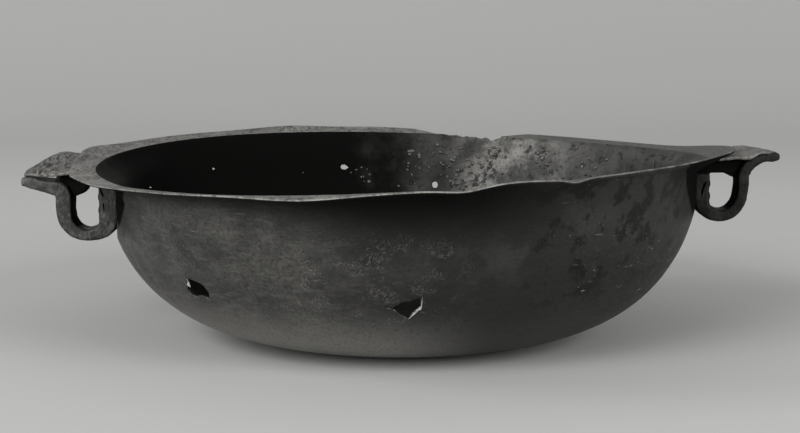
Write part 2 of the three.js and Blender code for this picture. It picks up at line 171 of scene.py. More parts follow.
@dataclass
class BowlForm:
    """The bowl's shape as a formula: what the wall and rim do at any height and azimuth.

    All lengths are in millimetres and all angles in degrees.
    """

    sheet: float = 1.6
    foot_radius: float = 52.5
    wall_top_radius: float = 197.5
    rim_height: float = 117.5
    wall_fullness: float = 0.77
    wall_rise: float = 0.91
    flare_out: float = 7.5
    flare_height: float = 26.0
    rim_radius: float = 220.0
    rim_lift: float = 1.8
    rim_raggedness: float = 0.7
    tilt_height: float = 2.5
    tilt_towards: float = 334.0
    saddle_height: float = 4.0
    saddle_towards: float = 130.0
    right_lift: float = 6.0
    right_lift_towards: float = -14.0
    right_lift_spread: float = 26.0
    left_twist: float = 4.0
    left_twist_spread: float = 9.0
    seats: dict[Side, Span] = field(
        default_factory=lambda: {Side.LEFT: (189.6, 17.0), Side.RIGHT: (194.6, 9.0)})
    seat_half_turn: float = 20.0
    seat_fade_turn: float = 14.0
    rim_bumps: tuple[Bump, ...] = ()
    lip_bumps: tuple[Bump, ...] = ()
    dents: tuple[Dent, ...] = ()

    @property
    def opening(self) -> float:
        """The radius where the wall turns into the rim."""
        return self.wall_top_radius + self.flare_out

    def rim_rise(self, azimuth: float) -> float:
        """Returns how far the rim has gone out of level at an azimuth."""
        tilt = self.tilt_height * math.cos(math.radians(azimuth - self.tilt_towards))
        saddle = self.saddle_height * math.cos(2.0 * math.radians(azimuth - self.saddle_towards))
        local = sum(b.rise * bell(turn_away(azimuth, b.azimuth), b.spread) for b in self.rim_bumps)
        return tilt + saddle + local

    def lip_lift(self, azimuth: float) -> float:
        """Returns how far the rim's outer edge stands above its inner edge."""
        off_right = turn_away(azimuth, self.right_lift_towards)
        right = self.right_lift * bell(off_right, self.right_lift_spread)
        away = turn_away(azimuth, 180.0) / self.left_twist_spread
        left = -self.left_twist * away * math.exp(0.5 - 0.5 * away * away)
        local = sum(b.rise * bell(turn_away(azimuth, b.azimuth), b.spread) for b in self.lip_bumps)
        return self.rim_lift + right + left + local

    def wall_radius(self, height: float) -> float:
        """Returns the outer radius of the wall at a height."""
        fall = max(0.0, 1.0 - height / self.rim_height) ** (1.0 / self.wall_rise)
        fullness = math.sqrt(max(0.0, 1.0 - fall * fall)) ** self.wall_fullness
        share = max(0.0, (height - (self.rim_height - self.flare_height)) / self.flare_height)
        plain = self.foot_radius + (self.wall_top_radius - self.foot_radius) * fullness
        return plain + self.flare_out * share * share

    def off_wall(self, height: float, distance: float) -> Vector:
        """Returns the radius and height of a point moved off the outer face along its normal."""
        step = 0.05
        low = max(height - step, 0.0)
        high = min(height + step, self.rim_height - self.sheet)
        slope = Vector((self.wall_radius(high) - self.wall_radius(low), high - low)).normalized()
        return Vector((self.wall_radius(height) + slope.y * distance, height - slope.x * distance))

    def seat_press(self, azimuth: float, height: float) -> float:
        """Returns how far the wall is hammered in round the handles, for their rings to sit on."""
        inwards = 0.0
        full_turn, top = self.seat_half_turn, self.rim_height - self.sheet
        for side, (seat, seat_top) in self.seats.items():
            away = abs(turn_away(azimuth, 180.0 if side is Side.LEFT else 0.0))
            across = 1.0 - smooth_step(away, full_turn, full_turn + self.seat_fade_turn)
            above = 1.0 - smooth_step(height, self.rim_height - seat_top, top)
            proud = self.wall_radius(min(height, self.rim_height)) - seat
            inwards += across * above * max(0.0, proud)
        return inwards

    def dent_press(self, azimuth: float, height: float, radius: float) -> float:
        """Returns how far the wall is pushed in by the dents near a point."""
        inwards = 0.0
        for dent in self.dents:
            along = math.radians(turn_away(azimuth, dent.azimuth)) * radius
            if abs(along) < 4.0 * dent.across:
                up = bell(height - dent.height, dent.tall)
                inwards += dent.depth * bell(along, dent.across) * up
        return inwards

    def warp(self, point: Vector) -> Vector:
        """Moves a point of the true round bowl to where the worn bowl has it, in millimetres."""
        moved = point.copy()
        height = point.z
        radius = math.hypot(point.x, point.y)
        azimuth = math.degrees(math.atan2(point.y, point.x))
        on_rim = min(1.1, max(0.0, (radius - self.opening) / (self.rim_radius - self.opening)))
        if radius < self.opening:
            outwards = -self.seat_press(azimuth, height) - self.dent_press(azimuth, height, radius)
        else:
            turn = math.radians(azimuth)
            wave = math.sin(7.0 * turn + 1.0) + 0.6 * math.sin(16.0 * turn)
            outwards = self.rim_raggedness * on_rim * wave
        if radius > 1.0:
            moved.x *= 1.0 + outwards / radius
            moved.y *= 1.0 + outwards / radius
        share = min(1.0, max(0.0, height / self.rim_height))
        moved.z += share * share * self.rim_rise(azimuth) + on_rim * self.lip_lift(azimuth)
        return moved

    def place(self, azimuth: float, height: float, off: float = 0.0) -> Vector:
        """Returns a point on the outer face of the worn wall, in millimetres.

        Args:
            azimuth: The direction from the axis, in degrees.
            height: The height on the true round bowl.
            off: How far outside the face the point is.

        Returns:
            The point in the frame of the bowl.
        """
        ring = self.off_wall(height, off)
        turn = math.radians(azimuth)
        return self.warp(Vector((ring.x * math.cos(turn), ring.x * math.sin(turn), ring.y)))


def link(name: str, data: bpy.types.ID) -> Piece:
    """Returns a new object in the scene that holds a mesh, a light or a camera."""
    piece = bpy.data.objects.new(name, data)
    bpy.context.scene.collection.objects.link(piece)
    return piece


def to_mesh(name: str, shape: Shape, smooth: bool = True) -> bpy.types.Mesh:
    """Writes a bmesh to a new mesh and frees it.

    Args:
        name: The mesh's name.
        shape: The bmesh to write.
        smooth: Whether its faces are shaded smooth.

    Returns:
        The new mesh.
    """
    data = bpy.data.meshes.new(name)
    shape.to_mesh(data)
    shape.free()
    for face in data.polygons:
        face.use_smooth = smooth
    return data


def cover(piece: Piece, *materials: Material) -> None:
    """Gives a piece its materials in place of any that it had."""
    piece.data.materials.clear()
    for material in materials:
        piece.data.materials.append(material)


def apply_modifiers(piece: Piece) -> None:
    """Replaces a piece's mesh by what its modifiers make of it, and removes them."""
    bpy.context.view_layer.update()
    graph = bpy.context.evaluated_depsgraph_get()
    finished = bpy.data.meshes.new_from_object(piece.evaluated_get(graph))
    piece.modifiers.clear()
    piece.data = finished


def prism(name: str, corners: list[tuple[float, float, float]], push: tuple[float, float, float],
          lie: Matrix | None = None) -> Piece:
    """Returns a hidden tool: a flat outline pushed straight through.

    Args:
        name: The tool's name.
        corners: The outline's points, in metres.
        push: How far the outline is pushed along each axis.
        lie: Where the tool is moved to afterwards, or None to leave it.

    Returns:
        The tool, which the cut removes.
    """
    shape = bmesh.new()
    face = shape.faces.new([shape.verts.new(corner) for corner in corners])
    pushed = bmesh.ops.extrude_face_region(shape, geom=[face])
    moved = [item for item in pushed["geom"] if isinstance(item, bmesh.types.BMVert)]
    bmesh.ops.translate(shape, verts=moved, vec=push)
    bmesh.ops.recalc_face_normals(shape, faces=shape.faces)
    if lie is not None:
        bmesh.ops.transform(shape, matrix=lie, verts=shape.verts)
    return link(name, to_mesh(name, shape, smooth=False))


def cut_with(piece: Piece, tool: Piece, tries: int = 3, least: float = 0.9) -> None:
    """Cuts a tool out of a piece and removes the tool.

    Args:
        piece: The piece, whose mesh is replaced by the cut one.
        tool: A closed tool that takes only a small part of the piece away.
        tries: How often the cut is made before it counts as failed.
        least: The share of the faces that a sound cut leaves.

    Raises:
        RuntimeError: If each try leaves too few faces or changes nothing.
    """
    whole = piece.data
    faces = len(whole.polygons)
    for _ in range(tries):
        difference = piece.modifiers.new(tool.name, "BOOLEAN")
        difference.operation = "DIFFERENCE"
        difference.solver = "EXACT"
        difference.object = tool
        apply_modifiers(piece)
        left = len(piece.data.polygons)
        if left > least * faces and left != faces:
            bpy.data.objects.remove(tool)
            return
        LOG.warning("the cut with %s left %d of %d faces", tool.name, left, faces)
        piece.data = whole
    raise RuntimeError(f"{tool.name} could not be cut out of {piece.name}")


def rough(point: Vector, size: float, seed: float) -> float:
    """Returns smooth noise from about -1 to 1 at a point, for lumps of a given size in metres."""
    return noise.fractal(point / size + Vector((seed, 2.0 * seed, -seed)), 0.9, 2.1, 3)


@dataclass(frozen=True)
class Patches:
    """Noise patches: the noise's scale, detail and roughness, and where a patch fades in."""

    scale: float
    detail: float
    roughness: float
    start: float
    end: float


@dataclass(frozen=True)
class Coat:
    """A grey laid over a colour: its linear level, and its strength where its share is whole."""

    level: float
    strength: float


def grey(level: float) -> tuple[float, float, float]:
    """Returns a near-neutral iron colour, slightly warm, at a linear level."""
    return (level * 1.02, level, level * 0.93)


@dataclass
class Net:
    """A node tree with short calls for the nodes that the finishes are made of."""

    tree: Tree

    def add(self, kind: str) -> bpy.types.Node:
        """Returns a new node of a kind."""
        return self.tree.nodes.new(kind)

    def place(self, group: Tree, values: dict[str, float]) -> bpy.types.Node:
        """Returns a group node with its inputs set to the values."""
        node = self.add("ShaderNodeGroup")
        node.node_tree = group
        for title, value in values.items():
            node.inputs[title].default_value = value
        return node

    def feed(self, socket: Socket, value: float | Socket) -> None:
        """Sets a socket to a number or links it to another socket."""
        if isinstance(value, (int, float)):
            socket.default_value = value
        else:
            self.tree.links.new(value, socket)

    def where(self) -> Socket:
        """Returns the object coordinates, in metres."""
        return self.add("ShaderNodeTexCoord").outputs["Object"]

    def position(self) -> tuple[Socket, ...]:
        """Returns the object coordinates: the whole vector and its three parts."""
        where = self.where()
        parts = self.add("ShaderNodeSeparateXYZ")
        self.feed(parts.inputs["Vector"], where)
        return where, parts.outputs["X"], parts.outputs["Y"], parts.outputs["Z"]

    def stretched(self, where: Socket, scale: tuple[float, float, float],
                  turn: tuple[float, float, float] = (0.0, 0.0, 0.0)) -> Socket:
        """Returns coordinates that are turned and scaled along each axis."""
        mapping = self.add("ShaderNodeMapping")
        mapping.inputs["Rotation"].default_value = turn
        mapping.inputs["Scale"].default_value = scale
        self.feed(mapping.inputs["Vector"], where)
        return mapping.outputs["Vector"]

    def noise(self, where: Socket, scale: float | Socket, detail: float, roughness: float,
              distortion: float = 0.0) -> Socket:
        """Returns the value of a noise texture.

        Args:
            where: The socket that gives the coordinates.
            scale: Lumps to a metre.
            detail: How many finer layers it has.
            roughness: How strong the finer layers are.
            distortion: How far the lumps are dragged about.

        Returns:
            The socket of its value, mostly between 0.3 and 0.7.
        """
        node = self.add("ShaderNodeTexNoise")
        self.feed(node.inputs["Scale"], scale)
        node.inputs["Detail"].default_value = detail
        node.inputs["Roughness"].default_value = roughness
        node.inputs["Distortion"].default_value = distortion
        self.feed(node.inputs["Vector"], where)
        return node.outputs["Fac"]

    def math(self, operation: str, first: float | Socket, second: float | Socket = 0.0) -> Socket:
        """Returns the output of a math node on numbers or sockets."""
        node = self.add("ShaderNodeMath")
        node.operation = operation
        self.feed(node.inputs[0], first)
        self.feed(node.inputs[1], second)
        return node.outputs[0]

    def times(self, first: float | Socket, second: float | Socket) -> Socket:
        """Returns the product of two numbers or sockets."""
        return self.math("MULTIPLY", first, second)

    def plus(self, first: float | Socket, second: float | Socket) -> Socket:
        """Returns the sum of two numbers or sockets."""
        return self.math("ADD", first, second)

    def minus(self, first: float | Socket, second: float | Socket) -> Socket:
        """Returns the first number or socket less the second."""
        return self.math("SUBTRACT", first, second)

    def most(self, first: float | Socket, second: float | Socket) -> Socket:
        """Returns the greater of two numbers or sockets."""
        return self.math("MAXIMUM", first, second)

    def size_of(self, value: Socket) -> Socket:
        """Returns a value without its sign."""
        return self.math("ABSOLUTE", value)

    def ramp(self, value: Socket, start: float, end: float) -> Socket:
        """Returns a smooth share, 0 at start and 1 at end, whichever of them lies lower."""
        if end < start:
            return self.minus(1.0, self.ramp(value, end, start))
        node = self.add("ShaderNodeMapRange")
        node.interpolation_type = "SMOOTHSTEP"
        node.inputs["From Min"].default_value = start
        node.inputs["From Max"].default_value = end
        self.feed(node.inputs["Value"], value)
        return node.outputs["Result"]

    def patches(self, where: Socket, patches: Patches) -> Socket:
        """Returns a share that is 1 in the noise patches and 0 between them."""
        value = self.noise(where, patches.scale, patches.detail, patches.roughness)
        return self.ramp(value, patches.start, patches.end)

    def region(self, across: Socket, up: Socket, area: tuple[Span, Span]) -> Socket:
        """Returns a share that is 1 in an area, which fades in across and up over its two spans."""
        return self.times(self.ramp(across, *area[0]), self.ramp(up, *area[1]))

    def blend(self, share: Socket, first: float | Socket, second: float | Socket) -> Socket:
        """Returns a number between two numbers or sockets."""
        node = self.add("ShaderNodeMix")
        node.data_type = "FLOAT"
        self.feed(node.inputs["Factor"], share)
        self.feed(node.inputs[2], first)
        self.feed(node.inputs[3], second)
        return node.outputs[0]

    def mix(self, share: Socket, first: tuple | Socket, second: tuple | Socket) -> Socket:
        """Returns a colour between two colours, each a triple or a socket."""
        node = self.add("ShaderNodeMix")
        node.data_type = "RGBA"
        self.feed(node.inputs["Factor"], share)
        for socket, colour in ((node.inputs[6], first), (node.inputs[7], second)):
            if isinstance(colour, tuple):
                socket.default_value = (*colour, 1.0)
            else:
                self.feed(socket, colour)
        return node.outputs[2]

    def coat(self, under: Socket, share: Socket, coat: Coat) -> Socket:
        """Returns a colour with a coat over it where the share says."""
        return self.mix(self.times(share, coat.strength), under, grey(coat.level))


@dataclass
class Wear:
    """The shader node groups that several of the finishes share."""

    mottle: Tree | None = None
    scratches: Tree | None = None
    edges: Tree | None = None

    @staticmethod
    def start(name: str, inputs: dict[str, float], outputs: tuple[str, ...]) -> tuple:
        """Makes an empty node group with named float inputs and outputs.

        Args:
            name: The group's name.
            inputs: Each input's name and default value.
            outputs: The names of the float outputs.

        Returns:
            The group, its input node and its output node.
        """
        group = bpy.data.node_groups.new(name, "ShaderNodeTree")
        for title, value in inputs.items():
            socket = group.interface.new_socket(
                title, in_out="INPUT", socket_type="NodeSocketFloat")
            socket.default_value = value
        for title in outputs:
            group.interface.new_socket(title, in_out="OUTPUT", socket_type="NodeSocketFloat")
        return group, group.nodes.new("NodeGroupInput"), group.nodes.new("NodeGroupOutput")

    def build(self) -> None:
        """Builds the three groups."""
        self.mottle = self.build_mottle()
        self.scratches = self.build_scratches()
        self.edges = self.build_edges()

    def build_mottle(self) -> Tree:
        """Returns the group for blotches of scale, fine pits and hammer marks."""
        group, given, made = self.start(
            "forged_mottle",
            {"Blotch Scale": 30.0, "Pit Scale": 500.0, "Pit Amount": 0.5},
            ("Blotch", "Pits", "Height"),
        )
        net = Net(group)
        where = net.where()
        blotch = net.noise(where, given.outputs["Blotch Scale"], 7.0, 0.62)
        fine = net.noise(where, given.outputs["Pit Scale"], 4.0, 0.6)
        deep = net.times(net.ramp(fine, 0.52, 0.30), given.outputs["Pit Amount"])
        net.feed(made.inputs["Blotch"], blotch)
        net.feed(made.inputs["Pits"], deep)
        net.feed(made.inputs["Height"], net.minus(net.times(blotch, 0.35), deep))
        return group

    def build_scratches(self) -> Tree:
        """Returns the group for thin bright scratches and specks in patches."""
        group, given, made = self.start(
            "bright_scratches", {"Amount": 1.0, "Scale": 60.0}, ("Scratches",))
        net = Net(group)
        where = net.where()
        here = net.patches(where, Patches(9.0, 2.0, 0.5, 0.52, 0.66))
        along = net.stretched(where, (1.0, 1.0, 9.0), (0.5, 0.3, 0.9))
        lines = net.ramp(net.noise(along, given.outputs["Scale"], 3.0, 0.7), 0.66, 0.74)
        specks = net.patches(where, Patches(620.0, 2.0, 0.5, 0.70, 0.76))
        kept = net.times(net.most(lines, specks), here)
        net.feed(made.inputs["Scratches"], net.times(kept, given.outputs["Amount"]))
        return group

    def build_edges(self) -> Tree:
        """Returns the group for the bare metal that shows on worn edges."""
        group, given, made = self.start("worn_edges", {"Amount": 1.0}, ("Worn",))
        net = Net(group)
        edge = net.ramp(net.add("ShaderNodeNewGeometry").outputs["Pointiness"], 0.53, 0.62)
        broken = net.patches(net.where(), Patches(120.0, 4.0, 0.6, 0.40, 0.60))
        net.feed(made.inputs["Worn"], net.times(net.times(edge, broken), given.outputs["Amount"]))
        return group


@dataclass(frozen=True)
class IronFinish:
    """A finish of old iron: dark scale with lighter blotches, pits, scratches and worn edges."""

    name: str
    dark: float
    light: float
    bare: float
    metallic: float = 0.35
    rough_low: float = 0.42
    rough_high: float = 0.68
    blotch_scale: float = 30.0
    blotch_span: Span = (0.34, 0.66)
    pit_scale: float = 520.0
    pit_amount: float = 0.5
    pit_shade: float = 0.35
    scratches: float = 0.5
    scratch_scale: float = 60.0
    edges: float = 0.6
    bump: float = 0.35
    bump_distance: float = 0.0006
    specular: float = 0.5
    shade_soot_level: float = 0.006
    shade_soot_roughness: float = 0.95
    shade_soot_specular: float = 0.04

    def build(self, wear: Wear) -> Material:
        """Returns the material.

        Args:
            wear: The shared node groups.

        Returns:
            A new material with this finish's values.
        """
        material = bpy.data.materials.new(self.name)
        material.use_nodes = True
        net = Net(material.node_tree)
        shader = material.node_tree.nodes["Principled BSDF"]
        mottle = net.place(wear.mottle, {
            "Blotch Scale": self.blotch_scale,
            "Pit Scale": self.pit_scale,
            "Pit Amount": self.pit_amount,
        })
        lines = net.place(wear.scratches, {"Amount": self.scratches, "Scale": self.scratch_scale})
        worn = net.place(wear.edges, {"Amount": self.edges})
        blotch = mottle.outputs["Blotch"]
        base = net.mix(net.ramp(blotch, *self.blotch_span), grey(self.dark), grey(self.light))
        base = self.tint(net, base)
        pitted = net.mix(mottle.outputs["Pits"], base, grey(self.dark * self.pit_shade))
        scratched = net.mix(lines.outputs["Scratches"], pitted, grey(self.bare))
        colour = net.mix(worn.outputs["Worn"], scratched, grey(self.bare))
        roughness = net.plus(net.times(blotch, self.rough_high - self.rough_low), self.rough_low)
        # Soot and painted shade: a dark, dull, non-metal colour laid where the finish's mask says.
        soot_and_shade = self.soot_and_shade(net)
        metallic, specular = self.metallic, self.specular
        if soot_and_shade is not None:
            colour = net.mix(soot_and_shade, colour, grey(self.shade_soot_level))
            roughness = net.blend(soot_and_shade, roughness, self.shade_soot_roughness)
            metallic = net.blend(soot_and_shade, metallic, 0.0)
            specular = net.blend(soot_and_shade, specular, self.shade_soot_specular)
        net.feed(shader.inputs["Base Color"], colour)
        net.feed(shader.inputs["Roughness"], roughness)
        net.feed(shader.inputs["Metallic"], metallic)
        net.feed(shader.inputs["Specular IOR Level"], specular)
        bump = net.add("ShaderNodeBump")
        bump.inputs["Strength"].default_value = self.bump
        bump.inputs["Distance"].default_value = self.bump_distance
        net.feed(bump.inputs["Height"], self.relief(net, mottle))
        net.feed(shader.inputs["Normal"], bump.outputs["Normal"])
        return material

    def tint(self, net: Net, base: Socket) -> Socket:
        """Returns the base colour unchanged; a finish with its own marks adds them here."""
        return base

    def soot_and_shade(self, net: Net) -> Socket | None:
        """Returns where dull soot and painted shade lie, or None; a finish with them gives it here.
        """
        return None

    def relief(self, net: Net, mottle: bpy.types.Node) -> Socket:
        """Returns the height that the bump reads."""
        return mottle.outputs["Height"]


@dataclass(frozen=True)
class InsideFinish(IronFinish):
    """The inside of the bowl: painted shade on the left, painted light and blisters on the right.

    Spans and middles are places in metres. The pairs named for front and back hold a value for
    each, and the front runs into the back over the span of the back.
    """

    shade_soot_level: float = 0.003
    # Painted shade, dull like soot, over the left of the inside and at the bottom.
    back_span: Span = (-0.03, 0.06)
    left_shade_span: Span = (0.08, -0.03)
    left_shade_wave: tuple[float, float, float] = (14.0, 5.0, 0.65)
    left_shade_wander_front_back: Span = (0.42, 0.16)
    left_shade_front_back: Span = (0.78, 1.0)
    bottom_span: Span = (0.055, 0.015)
    bottom_front_back: Span = (0.75, 0.9)
    pale: float = 0.19
    pale_patches: Patches = Patches(26.0, 7.0, 0.66, 0.42, 0.60)
    # Painted light: the pale patches gather into a pool of light round this middle on the right.
    lit_pool_middle: float = 0.082
    lit_pool_span: Span = (0.055, 0.015)
    lit_pool_share: float = 0.8
    pale_other_share: float = 0.2
    spot: float = 0.012
    spot_patches: Patches = Patches(85.0, 6.0, 0.66, 0.56, 0.63)
    blister_scale: float = 260.0
    blister_span: Span = (0.45, 0.05)
    blister_patches: Patches = Patches(40.0, 2.0, 0.5, 0.48, 0.60)

    def soot_and_shade(self, net: Net) -> Socket:
        """Returns painted shade: whole at the back on the left, thinner in front and at the bottom.
        """
        where, across, back, up = net.position()
        at_back = net.ramp(back, *self.back_span)
        uneven = net.minus(net.noise(where, *self.left_shade_wave), 0.5)
        ragged = net.times(uneven, net.blend(at_back, *self.left_shade_wander_front_back))
        left = net.times(net.ramp(net.plus(across, ragged), *self.left_shade_span),
                         net.blend(at_back, *self.left_shade_front_back))
        bottom = net.times(net.ramp(up, *self.bottom_span),
                           net.blend(at_back, *self.bottom_front_back))
        return net.most(bottom, left)

    def tint(self, net: Net, base: Socket) -> Socket:
        """Returns the base colour with a painted pool of light in pale patches, and black spots."""
        where, across, _, _ = net.position()
        lit_pool = net.ramp(net.size_of(net.minus(across, self.lit_pool_middle)), *self.lit_pool_span)
        share = net.plus(net.times(lit_pool, self.lit_pool_share), self.pale_other_share)
        strength = net.times(net.patches(where, self.pale_patches), share)
        paled = net.mix(strength, base, grey(self.pale))
        return net.mix(net.patches(where, self.spot_patches), paled, grey(self.spot))

    def relief(self, net: Net, mottle: bpy.types.Node) -> Socket:
        """Returns the height that the bump reads, with fine blisters added."""
        where = net.where()
        cells = net.add("ShaderNodeTexVoronoi")
        cells.inputs["Scale"].default_value = self.blister_scale
        net.feed(cells.inputs["Vector"], where)
        blisters = net.ramp(cells.outputs["Distance"], *self.blister_span)
        patchy = net.patches(where, self.blister_patches)
        return net.plus(mottle.outputs["Height"], net.times(blisters, patchy))


@dataclass(frozen=True)
class RecessShade:
    """The painted shade beside a handle, in metres.

    It starts at a reach from the middle at one level, and nearer in above that level as its taper
    says. It ends below at its foot.
    """

    reach: float
    level: float
    taper: float
    foot: float

    def span(self, edge: Span) -> Span:
        """Returns the reaches between which an edge of the grime fades in."""
        return self.reach + edge[0], self.reach + edge[1]


@dataclass(frozen=True)
class WallFinish(IronFinish):
    """The outside of the bowl: worn satin on the left, darker with painted shade towards the right.

    Spans and middles are places in metres. An area is a span across and a span up.
    """

    shade_soot_level: float = 0.002
    speckle: Coat = Coat(0.024, 0.45)
    speckle_patches: Patches = Patches(420.0, 4.0, 0.65, 0.42, 0.62)
    rubbed: Coat = Coat(0.14, 0.5)
    rubbed_stretch: tuple[float, float, float] = (1.0, 1.0, 4.5)
    rubbed_patches: Patches = Patches(55.0, 5.0, 0.7, 0.48, 0.66)
    # Painted shade: the wall is darkened towards the right, away from the light.
    right_shade: Coat = Coat(0.017, 0.9)
    right_shade_span: Span = (-0.10, 0.02)
    right_shade_wave: tuple[float, float, float] = (11.0, 5.0, 0.6)
    right_shade_wander: float = 0.14
    cloud: Coat = Coat(0.051, 0.7)
    cloud_patches: Patches = Patches(26.0, 5.0, 0.6, 0.48, 0.62)
    cloud_up: Span = (0.05, 0.08)
    pale_end: tuple[Span, Span] = ((0.07, 0.13), (0.07, 0.095))
    pale_end_share: float = 0.7
    blot: Coat = Coat(0.0034, 0.85)
    blot_patches: Patches = Patches(62.0, 5.0, 0.6, 0.50, 0.58)
    blot_area: tuple[Span, Span] = ((0.055, 0.09), (0.035, 0.055))
    # Painted light: the low left of the wall is lightened as if lit by the floor's bounce.
    floor_bounce_light: Coat = Coat(0.26, 0.8)
    floor_bounce_area: tuple[Span, Span] = ((0.06, -0.02), (0.05, 0.012))
    low_shade: Coat = Coat(0.010, 0.75)
    low_area: tuple[Span, Span] = ((0.09, 0.15), (0.075, 0.04))
    trail: Coat = Coat(0.221, 0.62)
    trail_wave: tuple[float, float, float, float] = (130.0, 3.0, 0.6, 2.2)
    trail_line: Span = (0.022, 0.006)
    trail_patches: Patches = Patches(75.0, 3.0, 0.6, 0.48, 0.60)
    trail_middle: float = -0.022
    trail_across: Span = (0.075, 0.03)
    trail_up: Span = (0.022, 0.045)
    trail_end: Span = (0.105, 0.085)
    # Painted shadow under the rim, with soot: the band darkens and dulls the top of the wall.
    band_level: float = 0.007
    band_middle: float = 0.012
    band_across: Span = (0.11, 0.02)
    band_up: Span = (0.070, 0.114)
    band_middle_share: float = 0.75
    band_other_share: float = 0.12
    band_soot_and_shade_share: float = 0.9
    edge_across: Span = (0.04, -0.04)
    edge_up: Span = (0.100, 0.115)
    edge_share: float = 0.6
    # Painted shade in the pressed recess beside each handle's wall leg.
    recess_shades: tuple[RecessShade, RecessShade] = (
        RecessShade(0.168, 0.1064, 0.4, 0.074),
        RecessShade(0.1725, 0.1162, 0.36, 0.083),
    )
    side_span: Span = (-0.01, 0.01)
    behind_span: Span = (-0.01, 0.03)
    firm_edge: Span = (0.0, 0.004)
    firm_foot: Span = (-0.002, 0.008)
    haze_edge: Span = (-0.024, 0.004)
    haze_share: float = 0.55
    soft_edge: Span = (-0.008, 0.03)
    soft_foot: Span = (-0.012, 0.03)
    soft_share: float = 0.8

    def trails(self, net: Net, where: Socket, across: Socket, up: Socket) -> Socket:
        """Returns a share for the fine bright winding trails low in the middle of the front."""
        winding = net.noise(where, *self.trail_wave)
        line = net.ramp(net.size_of(net.minus(winding, 0.5)), *self.trail_line)
        broken = net.patches(where, self.trail_patches)
        sideways = net.ramp(net.size_of(net.minus(across, self.trail_middle)), *self.trail_across)
        tall = net.times(net.ramp(up, *self.trail_up), net.ramp(up, *self.trail_end))
        return net.times(net.times(line, broken), net.times(sideways, tall))

    def rim_shadow_band(self, net: Net, across: Socket, up: Socket) -> Socket:
        """Returns the painted rim shadow and soot, strongest in the middle of the front."""
        sideways = net.ramp(net.size_of(net.minus(across, self.band_middle)), *self.band_across)
        spread = net.plus(net.times(sideways, self.band_middle_share), self.band_other_share)
        edge = net.times(net.region(across, up, (self.edge_across, self.edge_up)), self.edge_share)
        beside = net.times(edge, net.minus(1.0, sideways))
        return net.plus(net.times(net.ramp(up, *self.band_up), spread), beside)

    def tint(self, net: Net, base: Socket) -> Socket:
        """Returns the base colour with painted shade and light, streaks, blots and trails."""
        where, across, _, up = net.position()
        colour = net.coat(base, net.patches(where, self.speckle_patches), self.speckle)
        flat = net.stretched(where, self.rubbed_stretch)
        colour = net.coat(colour, net.patches(flat, self.rubbed_patches), self.rubbed)
        # Painted shade: darker towards the right, along a wandering edge.
        uneven = net.minus(net.noise(where, *self.right_shade_wave), 0.5)
        wander = net.times(uneven, self.right_shade_wander)
        dark = net.ramp(net.plus(across, wander), *self.right_shade_span)
        colour = net.coat(colour, dark, self.right_shade)
        end = net.times(net.region(across, up, self.pale_end), self.pale_end_share)
        clouds = net.most(net.patches(where, self.cloud_patches), end)
        clouds = net.times(net.times(clouds, net.ramp(up, *self.cloud_up)), dark)
        colour = net.coat(colour, clouds, self.cloud)
        blots = net.patches(where, self.blot_patches)
        blots = net.times(blots, net.region(across, up, self.blot_area))
        colour = net.coat(colour, blots, self.blot)
        # Painted light low on the left, then painted shade low on the right.
        colour = net.coat(colour, net.region(across, up, self.floor_bounce_area), self.floor_bounce_light)
        colour = net.coat(colour, net.region(across, up, self.low_area), self.low_shade)
        colour = net.coat(colour, self.trails(net, where, across, up), self.trail)
        return net.mix(self.rim_shadow_band(net, across, up), colour, grey(self.band_level))

    def soot_and_shade(self, net: Net) -> Socket:
        """Returns painted shade beside each handle, firm in front and soft behind, and of the band.
        """
        _, across, back, up = net.position()
        out = net.size_of(across)
        behind = net.ramp(back, *self.behind_span)
        covers = []
        for recess in self.recess_shades:
            leaning = net.plus(out, net.times(net.minus(up, recess.level), recess.taper))
            soft = net.times(net.ramp(leaning, *recess.span(self.soft_edge)), self.soft_share)
            haze = net.times(net.ramp(leaning, *recess.span(self.haze_edge)), self.haze_share)
            firm = net.most(net.ramp(leaning, *recess.span(self.firm_edge)), haze)
            covers.append(net.blend(behind, firm, soft))
        side = net.ramp(across, *self.side_span)
        above = net.minus(up, net.blend(side, *(recess.foot for recess in self.recess_shades)))
        high = net.blend(behind, net.ramp(above, *self.firm_foot), net.ramp(above, *self.soft_foot))
        covered = net.times(net.blend(side, *covers), high)
        return net.most(covered, net.times(self.rim_shadow_band(net, across, up), self.band_soot_and_shade_share))


@dataclass(frozen=True)
class SheetFinish(IronFinish):
    """Hammered iron with dark grain: short cracks and streaks of scale that run along the metal."""

    grain: float = 0.75
    grain_dark: float = 0.012
    grain_lines: Patches = Patches(380.0, 5.0, 0.7, 0.48, 0.56)
    grain_patches: Patches = Patches(55.0, 3.0, 0.6, 0.34, 0.54)
    stretch: tuple[float, float, float] = (1.0, 0.35, 1.0)

    def tint(self, net: Net, base: Socket) -> Socket:
        """Returns the base colour with the dark grain over it."""
        where = net.where()
        lines = net.patches(net.stretched(where, self.stretch), self.grain_lines)
        marks = net.times(lines, net.patches(where, self.grain_patches))
        return net.coat(base, marks, Coat(self.grain_dark, self.grain))


@dataclass(frozen=True)
class RimFinish(SheetFinish):
    """The flat rim: bright and grained on the left, darker towards the right."""

    right: Coat = Coat(0.058, 0.75)
    right_span: Span = (0.02, 0.12)

    def tint(self, net: Net, base: Socket) -> Socket:
        """Returns the grained base colour, darkened on the right."""
        _, across, _, _ = net.position()
        return net.coat(super().tint(net, base), net.ramp(across, *self.right_span), self.right)


